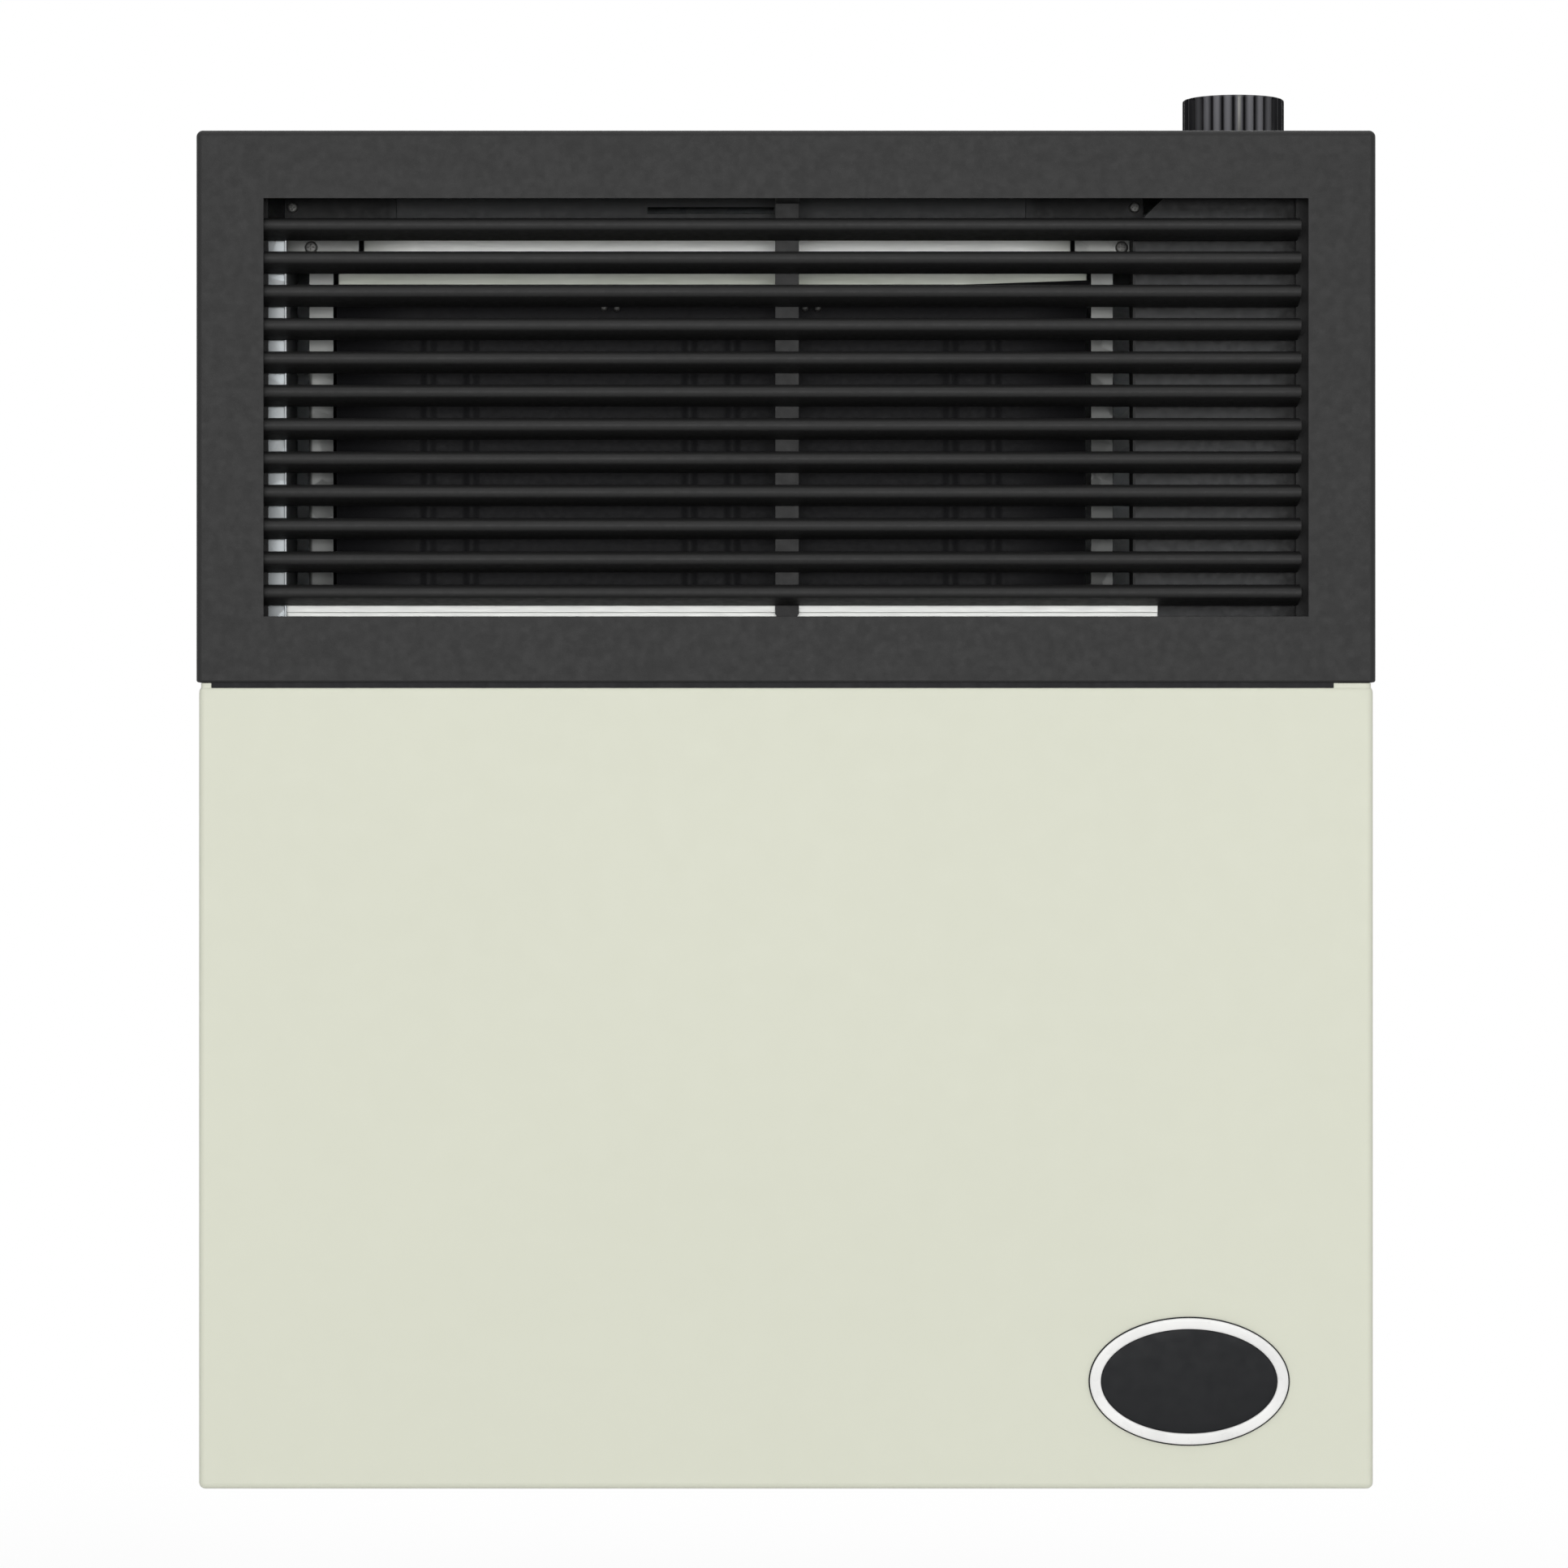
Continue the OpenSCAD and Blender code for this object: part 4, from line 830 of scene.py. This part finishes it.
def make_inner_screws():
    lip, shield, plate, door = -172.0, -171.0, -172.0, -175.0
    heads = [(-195.6, lip, 152.1, 2.6), (198.0, lip, 152.1, 2.6)]
    heads += [(-187.0, shield, 133.5, 3.0), (192.0, shield, 133.5, 3.0)]
    heads += [(x, door, z, 3.0) for x in (-64, 0, 64) for z in (-313.0, -237.0)]
    for i, (x, y, z, radius) in enumerate(heads):
        screw = Shape()
        screw.pan_head((x, y, z), TO_ROOM, radius, 1.8, 24)
        screw.done(f"inner_screw_{i + 1:02d}", "dull_screw", ["inner_screws"])
    for i, x in enumerate((-50, -44, 44, 50)):
        rivet = Shape()
        rivet.turned([
            (0, 0), (1.6, 0), (1.6, 0.5), (1.42, 1.1), (1.0, 1.55), (0.4, 1.78), (0, 1.8),
        ], (x, plate, 105.0), TO_ROOM, 20)
        rivet.done(f"rivet_{i + 1}", "dull_screw", ["inner_screws"])


# ---- Flue parts ----


def make_flue():
    stub = Shape()
    inside, outside, bore = -50.0, 60.0, 36.5
    stub.turned([
        (bore, inside), (38, inside), (38, -45), (50, -45), (50, -43), (38.6, -43), (38, -42.4),
        (38, 46), (37.7, 46.6), (37.2, 47.4), (37.2, 49.6), (37.7, 50.4), (38, 51), (38, outside - 0.4),
        (37.7, outside), (bore + 0.3, outside), (bore, outside - 0.4),
    ], (0, 0, 0), TO_WALL, 72, ring=True)
    stub.done("flue_stub", "steel_tube", ["exhaust_stub"], sharp=40)
    collar = Shape()
    flange, end, bore = -17.2, 45.0, 62.3
    collar.turned([
        (bore, flange), (76, flange), (76, flange + 1), (64.3, flange + 1), (63.5, flange + 1.8),
        (63.5, 33), (63.2, 33.6), (62.8, 34.4), (62.8, 36.6), (63.2, 37.4), (63.5, 38), (63.5, end - 0.4),
        (63.2, end), (bore + 0.3, end), (bore, end - 0.4),
    ], (0, 0, 0), TO_WALL, 96, ring=True)
    collar.done("air_collar", "steel_tube", ["intake_collar"], sharp=40)


# ---- Gas valve and controls ----

PIEZO_X, PIEZO_Y = KNOB_X - 42, KNOB_Y - 28
JET_Y, JET_Z, PILOT_Z, SHELF_Z = -108.0, -290.0, -264.0, -342.5


def bent_path(points, bend, steps=8):
    """A line through points, with a round bend at each inner one."""
    points = [Vector(point) for point in points]
    path = [points[0]]
    for before, corner, after in zip(points, points[1:], points[2:]):
        arriving, leaving = (corner - before).normalized(), (after - corner).normalized()
        angle = arriving.angle(leaving)
        centre = corner + (leaving - arriving).normalized() * bend / math.cos(angle / 2)
        start = corner - arriving * bend * math.tan(angle / 2)
        axis = arriving.cross(leaving)
        for k in range(steps + 1):
            path.append(centre + Matrix.Rotation(angle * k / steps, 3, axis) @ (start - centre))
    path.append(points[-1])
    return path


def make_pipes():
    valve_x = KNOB_X - 25
    burner = Shape()
    x, z = 209, -322
    burner.tube(bent_path([
        (valve_x, KNOB_Y, z), (x, KNOB_Y, z), (x, JET_Y, z), (x, JET_Y, JET_Z), (198, JET_Y, JET_Z),
    ], 6), 4.0, 24)
    burner.nut((216, KNOB_Y, z), RIGHTWARD, 8.0, 6.0)
    burner.done("burner_supply_pipe", "copper_tube", ["burner_pipe"])
    pilot = Shape()
    x, y, z, end_y = 212, -152, -292, -128
    pilot.tube(bent_path([
        (valve_x, y, z), (x, y, z), (x, y, PILOT_Z), (x, end_y, PILOT_Z), (109, end_y, PILOT_Z),
    ], 6), 2.0)
    pilot.nut((217, y, z), RIGHTWARD, 5.0, 5.0)
    pilot.done("pilot_supply_pipe", "copper_tube", ["pilot_pipe"])
    couple = Shape()
    x, y, z, end_y = 214, -122, -296, -112
    couple.tube(bent_path([
        (valve_x, y, z), (x, y, z), (x, y, PILOT_Z), (x, end_y, PILOT_Z), (124, end_y, PILOT_Z),
    ], 4), 1.6)
    couple.nut((216, y, z), RIGHTWARD, 4.0, 6.0)
    couple.turned([
        (0, 0), (1.6, 0.2), (2.6, 1.2), (3, 2.6), (3, 23.4), (2.7, 24), (0, 24),
    ], (100, end_y, PILOT_Z), RIGHTWARD, 24)
    couple.done("thermocouple_lead", "copper_tube", ["thermocouple"])
    lead = Shape()
    x, y, high = 185, -92, -240
    lead.tube(bent_path([
        (166, y, PILOT_Z), (x, y, PILOT_Z), (x, y, high), (x, PIEZO_Y, high), (PIEZO_X, PIEZO_Y, high),
        (PIEZO_X, PIEZO_Y, -316),
    ], 8), 2.5)
    lead.done("ignition_lead", "lead_rubber", ["spark_lead"])
    bulb = Shape()
    bulb_y, bulb_z = -35.0, -405.0
    bulb.turned([
        (0, 0), (2.4, 0.3), (3.8, 1.4), (4.5, 3.4), (4.5, 86), (3.6, 88), (2.2, 89), (1.6, 90), (0, 90),
    ], (-60, bulb_y, bulb_z), RIGHTWARD, 32)
    x, y = KNOB_X + 19, KNOB_Y - 13
    bulb.tube(bent_path([
        (30, bulb_y, bulb_z), (x, bulb_y, bulb_z), (x, y, bulb_z), (x, y, SHELF_Z),
    ], 8), 1.2, 12)
    bulb.done("room_air_bulb", "copper_tube", ["thermostat_bulb"])
    for i, x in enumerate((-45.0, 12.0)):
        clip = Shape()
        rings = []
        for k in range(25):
            a = math.radians(-55 + 290 * k / 24)
            rings.append([(bulb_y - math.sin(a) * r, bulb_z + math.cos(a) * r) for r in (4.55, 5.05)])
        outline = [ring[0] for ring in rings] + [ring[1] for ring in reversed(rings)]
        clip.loft([[(u, y, z) for y, z in outline] for u in (x, x + 4)])
        clip.block((x, bulb_y + 4.6, bulb_z - 1), (x + 4, -15.3, bulb_z + 1))
        clip.done(f"bulb_clip_{i + 1}", "plated_steel", ["thermostat_bulb"], sharp=40)


def rounded_rect(x0, y0, x1, y1, radius, z, steps=6):
    """A level of a block with round upright edges."""
    ring = []
    for cx, cy, start in ((x1, y1, 0), (x0, y1, 1), (x0, y0, 2), (x1, y0, 3)):
        for k in range(steps + 1):
            a = math.pi / 2 * (start + k / steps)
            ring.append((
                cx + (radius if cx == x0 else -radius) + radius * math.cos(a),
                cy + (radius if cy == y0 else -radius) + radius * math.sin(a), z,
            ))
    return ring


def make_valve():
    x0, x1, y0, y1 = KNOB_X - 25, KNOB_X + 25, KNOB_Y - 26, KNOB_Y + 26
    low, high, boss = SHELF_Z, -270.0, -258.0
    corners = [(KNOB_X + dx, KNOB_Y + dy) for dy in (-19.5, 19.5) for dx in (-18.5, 18.5)]
    body = Shape()
    rings = []
    for inset, z in (
        (1.2, low), (0.35, low + 0.3), (0, low + 1.2), (0.7, -308.6), (0.2, -308.0), (0.0, -307.6),
        (0.0, -304.6), (0.2, -304.2), (0.7, -303.6), (1.6, high - 2.4), (2.0, high - 0.9), (3.2, high),
    ):
        rings.append(rounded_rect(x0 + inset, y0 + inset, x1 - inset, y1 - inset, 6, z))
    body.loft(rings)
    body.turned([
        (8.2, high - 3), (16.4, high - 3), (16.2, high), (14.8, high + 0.7), (14, high + 2),
        (14, boss - 0.8), (13.4, boss), (8.6, boss), (8.2, boss - 0.4),
    ], (KNOB_X, KNOB_Y, 0), ring=True)
    side_z = -310
    body.turned([
        (0, 0), (13, 0), (13, 3.2), (12.2, 3.8), (12.2, 5.4), (13, 6), (13, 13),
    ], (x1 - 0.6, KNOB_Y, side_z), RIGHTWARD)
    body.nut((x1 + 12.2, KNOB_Y, side_z), RIGHTWARD, 13.0, 7.8)
    for x, y in corners:
        body.turned([(0, 0), (4.2, 0), (4.2, 1.5), (3.6, 2.1), (0, 2.1)], (x, y, high - 0.4), steps=24)
    body.done("valve_body", "valve_casting", ["gas_valve"], sharp=36)
    for i, (x, y) in enumerate(corners):
        screw = Shape()
        screw.pan_head((x, y, high + 1.6), UP, 2.9, 1.6, 24)
        screw.done(f"valve_screw_{i + 1}", "plated_steel", ["gas_valve"])
    tap = Shape()
    tap.nut((x0 + 12, y0 + 0.6, -330), TO_ROOM, 4.0, 0.6)
    tap.done("test_point", "brass_fittings", ["gas_valve"])
    plunger = Shape()
    plunger.turned([
        (0, 0), (7.6, 0), (8, 0.4), (8, 24), (7.4, 24.6), (7.4, 25.4), (8, 26), (8, 27.6), (7.6, 28),
        (4.4, 28), (4.08, 27.7), (4.08, 2), (0, 2),
    ], (KNOB_X, KNOB_Y, -280.0))
    plunger.done("plunger_sleeve", "brass_fittings", ["valve_plunger"], body="press_guide")
    rod = Shape()
    foot = -277.5
    rod.turned([
        (0, foot), (3.5, foot), (4, foot + 0.5), (4, -251.95), (6.5, -251.95), (7, -251.5), (7, -248.5),
        (6.5, -248), (4, -248), (4, -230), (7, -230), (7.5, -229.5), (7.5, -200.5), (7, -200), (4, -200),
        (4, 202.4), (3.5, 203), (0, 203),
    ], (KNOB_X, KNOB_Y, 0))
    for z in (-222, -208):
        rod.turned([
            (0, 0), (1.9, 0), (1.9, 0.35), (1.5, 0.5), (0, 0.5),
        ], (KNOB_X, KNOB_Y - 7.45, z), TO_ROOM, 16)
    rod.done("control_rod", "plated_steel", ["knob_rod"], body="knob_stem", sharp=40)


def make_inlet():
    base, thread, nut = -432.0, 20.0, 12.0
    radius, pitch, depth, lead_in, steps = 8.33, 1.34, 0.72, 0.9, 48
    count = int(thread / pitch * 6)
    union = Shape()
    rings = []
    for k in range(count + 1):
        height = thread * k / count
        ring = []
        for i, a in enumerate(turn(steps)):
            phase = (height / pitch - i / steps) % 1
            reach = radius - max(depth * abs(2 * phase - 1), lead_in - height)
            ring.append((KNOB_X + reach * math.cos(a), KNOB_Y + reach * math.sin(a), base + height))
        rings.append(ring)
    union.loft(rings)
    union.nut((KNOB_X, KNOB_Y, base + thread), UP, nut, nut)
    union.turned([
        (0, 0), (7.6, 0), (7.6, 1.2), (6.5, 2.2), (6.5, 57.5), (0, 57.5),
    ], (KNOB_X, KNOB_Y, base + thread + nut), UP, 40)
    union.done("gas_inlet_union", "brass_fittings", ["inlet_union"], sharp=28)


def make_igniter():
    x, y = PIEZO_X, PIEZO_Y
    barrel = Shape()
    barrel.turned([
        (6.08, 0), (7.6, 0), (8, 0.4), (8, 53), (7.4, 54), (0, 54), (0, 25), (6.08, 25),
    ], (x, y, -370.0), ring=True)
    barrel.turned([
        (8, 0), (9.6, 0), (10, 0.4), (10, 2.1), (9.6, 2.5), (8, 2.5),
    ], (x, y, SHELF_Z), ring=True)
    # The ring nut under the shelf, with its grip's grooves
    radius, bore, low, high, groove, steps = 11, 8, SHELF_Z - 4.5, SHELF_Z - 1.5, 0.5, 96
    rings = []
    for height, inset in ((0, 0.5), (0.4, 0), (2.6, 0), (3, 0.5)):
        ring = []
        for i, a in enumerate(turn(steps)):
            reach = radius - inset - groove * (i % 4 in (0, 3))
            ring.append((x + reach * math.cos(a), y + reach * math.sin(a), low + height))
        rings.append(ring)
    rings += [circle(x, y, z, bore, steps) for z in (high, low)]
    barrel.loft(rings, around=True)
    barrel.done("igniter_barrel", "igniter_plastic", ["piezo_igniter"], sharp=30)
    button = Shape()
    button.turned([
        (0, 0), (2.5, 0.06), (4.6, 0.3), (6.2, 0.75), (7.1, 1.35), (7.5, 2.1), (7.5, 2.6), (7.2, 3),
        (6, 3), (6, 32.5), (5.6, 33), (0, 33),
    ], (x, y, -385.0))
    button.done("igniter_cap", "button_red", ["igniter_button"], body="igniter_push", sharp=36)


def make_injector():
    plate = 162.0
    arm = Shape()
    for z in (JET_Z - 20, JET_Z + 18.5):
        arm.block((plate, JET_Y - 10, z), (186, JET_Y + 10, z + 1.5))
    arm.block((184.5, JET_Y - 10, JET_Z - 20), (186, JET_Y + 10, JET_Z + 20))
    arm.done("injector_arm", "zinc_sheet", ["injector"], edge=0.3)
    jet = Shape()
    jet.turned([
        (0, 0), (1.6, 0), (3.2, 0.8), (4, 2), (4, 8), (5.6, 8), (6, 8.4), (6, 20), (0, 20),
    ], (168, JET_Y, JET_Z), RIGHTWARD, 36)
    jet.nut((188, JET_Y, JET_Z), RIGHTWARD, 8.5, 10.0)
    jet.done("injector_jet", "brass_fittings", ["injector"])
    shelf = Shape()
    shelf.block((90, -136, -275.5), (160, -82, -274))
    shelf.done("pilot_shelf", "zinc_sheet", ["pilot_burner"], edge=0.3)
    hood = Shape()
    pilot_y = -128
    hood.turned([
        (0, 0), (5, 0), (5, 11), (4.4, 11.6), (4.4, 13), (5, 13.6), (5, 17.4), (4.4, 18), (3.6, 18),
        (3.6, 14), (0, 14),
    ], (104, pilot_y, -274), UP, 32)
    hood.turned([(0, 0), (2.2, 0.4), (3, 1.6), (3, 10), (0, 10)], (94, pilot_y, -260), RIGHTWARD, 28)
    hood.done("pilot_hood", "brass_fittings", ["pilot_burner"])
    insulator = Shape()
    spark_y = -92
    insulator.turned([
        (0, 0), (2.0, 0), (2.6, 0.8), (2.8, 12), (3.5, 13), (3.5, 20), (2.9, 20.8), (2.9, 22), (3.5, 22.8),
        (3.5, 26), (2.9, 26.8), (2.9, 28), (3.5, 28.8), (3.5, 47.4), (3.0, 48), (0, 48),
    ], (118, spark_y, PILOT_Z), RIGHTWARD, 32)
    insulator.done("electrode_body", "electrode_ceramic", ["spark_electrode"])
    wire = Shape()
    wire.bar((100, spark_y, PILOT_Z), RIGHTWARD, 1.0, 19, 0.3, 16)
    wire.done("electrode_wire", "plated_steel", ["spark_electrode"])


DRESSED = {
    "wall_bracket": "bracket_sheet", "chassis_back": "back_panel",
    "louvre_strip_left": "blade_tie_left", "louvre_strip_right": "blade_tie_right",
    "louvre_rib": "blade_rib", "side_panel_left": "end_panel_left",
    "side_shield_left": "shield_left", "side_shield_right": "shield_right",
    "front_shield": "apron_sheet", "top_deflector": "deflector_sheet",
    "deflector_lip": "deflector_plate", "control_guard": "guard_sheet", "firebox": "exchanger_body",
    "access_door": "burner_door", "air_duct": "air_box", "firebox_brackets": "exchanger_brackets",
    "burner_plate": "burner_mount", "control_bracket": "valve_shelf", "flue_baffle": "baffle_sheet",
    "sight_frame": "sight_ring", "knob_bushing": "rod_guide", "door_gasket": "door_seal",
    "main_burner": "burner_bar",
}

make_hood()
make_cover()
make_casing_screws()
make_louvres()
make_knob()
make_badge()
make_exchanger_front()
make_inner_screws()
make_flue()
make_pipes()
make_valve()
make_inlet()
make_igniter()
make_injector()
for node_name, piece_name in DRESSED.items():
    dressed(node_name, piece_name)


# ---- Stage, camera and lamps ----

VIEW_X, VIEW_Y, VIEW_Z = 0.0341, -2.659, -0.1173
FLOOR_Z = -0.64
# How bright a white floor is under the lamps
LIT = 0.8


def whiten(nodes, plain, white):
    """Mixes plain and white so that the camera, gloss and glass see white."""
    rays = nodes.add("LightPath").outputs
    seen = rays["Is Camera Ray"]
    for ray in ("Is Glossy Ray", "Is Transmission Ray"):
        seen = nodes.math("MAXIMUM", seen, rays[ray])
    return nodes.joined("MixShader", seen, plain, white)


def make_world(ambient):
    world = bpy.data.worlds.new("studio")
    bpy.context.scene.world = world
    world.use_nodes = True
    nodes = Nodes(world.node_tree)
    plain = nodes.add("Background", Color=(1, 1, 1, 1), Strength=ambient)
    white = nodes.add("Background", Color=(1, 1, 1, 1), Strength=1.0)
    output = nodes.add("OutputWorld")
    nodes.link(whiten(nodes, plain.outputs[0], white.outputs[0]), output.inputs["Surface"])


def make_floor(size=14.0, shadow_share=0.55, near=0.55, far=1.6):
    """A white floor that keeps the object's shadow and fades to plain white further out."""
    mesh = bpy.data.meshes.new("floor")
    half = size / 2
    corners = [(-half, -half, 0), (half, -half, 0), (half, half, 0), (-half, half, 0)]
    mesh.from_pydata(corners, [], [(0, 1, 2, 3)])
    floor = bpy.data.objects.new("floor", mesh)
    floor.location = (0, 0, FLOOR_Z)
    bpy.context.scene.collection.objects.link(floor)
    material = bpy.data.materials.new("floor_white")
    material.use_nodes = True
    nodes = Nodes(material.node_tree)
    plain = nodes.add("BsdfDiffuse", Color=(0.8, 0.8, 0.8, 1))
    shaded = nodes.add("BsdfDiffuse", Color=(shadow_share, shadow_share, shadow_share, 1))
    lift = nodes.add("Emission", Strength=1 - LIT * shadow_share)
    white = nodes.add("Emission")
    reach = nodes.vector("LENGTH", nodes.add("TexCoord").outputs["Object"])
    fade = nodes.add("MapRange", interpolation_type="SMOOTHSTEP", From_Min=near, From_Max=far)
    nodes.link(reach, fade.inputs["Value"])
    lifted = nodes.joined("AddShader", shaded.outputs[0], lift.outputs[0])
    faded = nodes.joined("MixShader", fade.outputs["Result"], lifted, white.outputs[0])
    output = nodes.add("OutputMaterial")
    nodes.link(whiten(nodes, plain.outputs[0], faded), output.inputs["Surface"])
    mesh.materials.append(material)


def make_camera():
    data = bpy.data.cameras.new("camera")
    data.sensor_width = 36
    data.sensor_fit = "AUTO"
    data.lens = 122.15
    camera = bpy.data.objects.new("camera", data)
    camera.location = (VIEW_X, VIEW_Y, VIEW_Z)
    camera.rotation_euler = (math.pi / 2, 0, 0)
    bpy.context.scene.collection.objects.link(camera)
    bpy.context.scene.camera = camera


def make_lamp(name, place, target, size, watts):
    data = bpy.data.lights.new(name, "AREA")
    data.shape = "RECTANGLE"
    data.size, data.size_y = size
    data.energy = watts
    lamp = bpy.data.objects.new(name, data)
    lamp.location = place
    lamp.rotation_euler = (Vector(target) - Vector(place)).to_track_quat("-Z", "Y").to_euler()
    bpy.context.scene.collection.objects.link(lamp)


make_camera()
make_world(0.34)
make_floor()
AIM = (0.035, -0.2, -0.13)
make_lamp("front_left", (-1.5, -6.0, 1.3), AIM, (2.8, 2.9), 60)
make_lamp("front_right", (1.8, -5.8, 0.9), AIM, (2.5, 2.5), 38)
make_lamp("front_low", (0.1, -5.4, -0.05), AIM, (2.6, 0.7), 66)
make_lamp("top", (0.2, -0.6, 2.6), AIM, (2.4, 2.4), 18)
make_lamp("rear", (0.4, 3.0, 1.2), AIM, (2.8, 2.2), 40)

scene = bpy.context.scene
scene.view_settings.view_transform = "Standard"
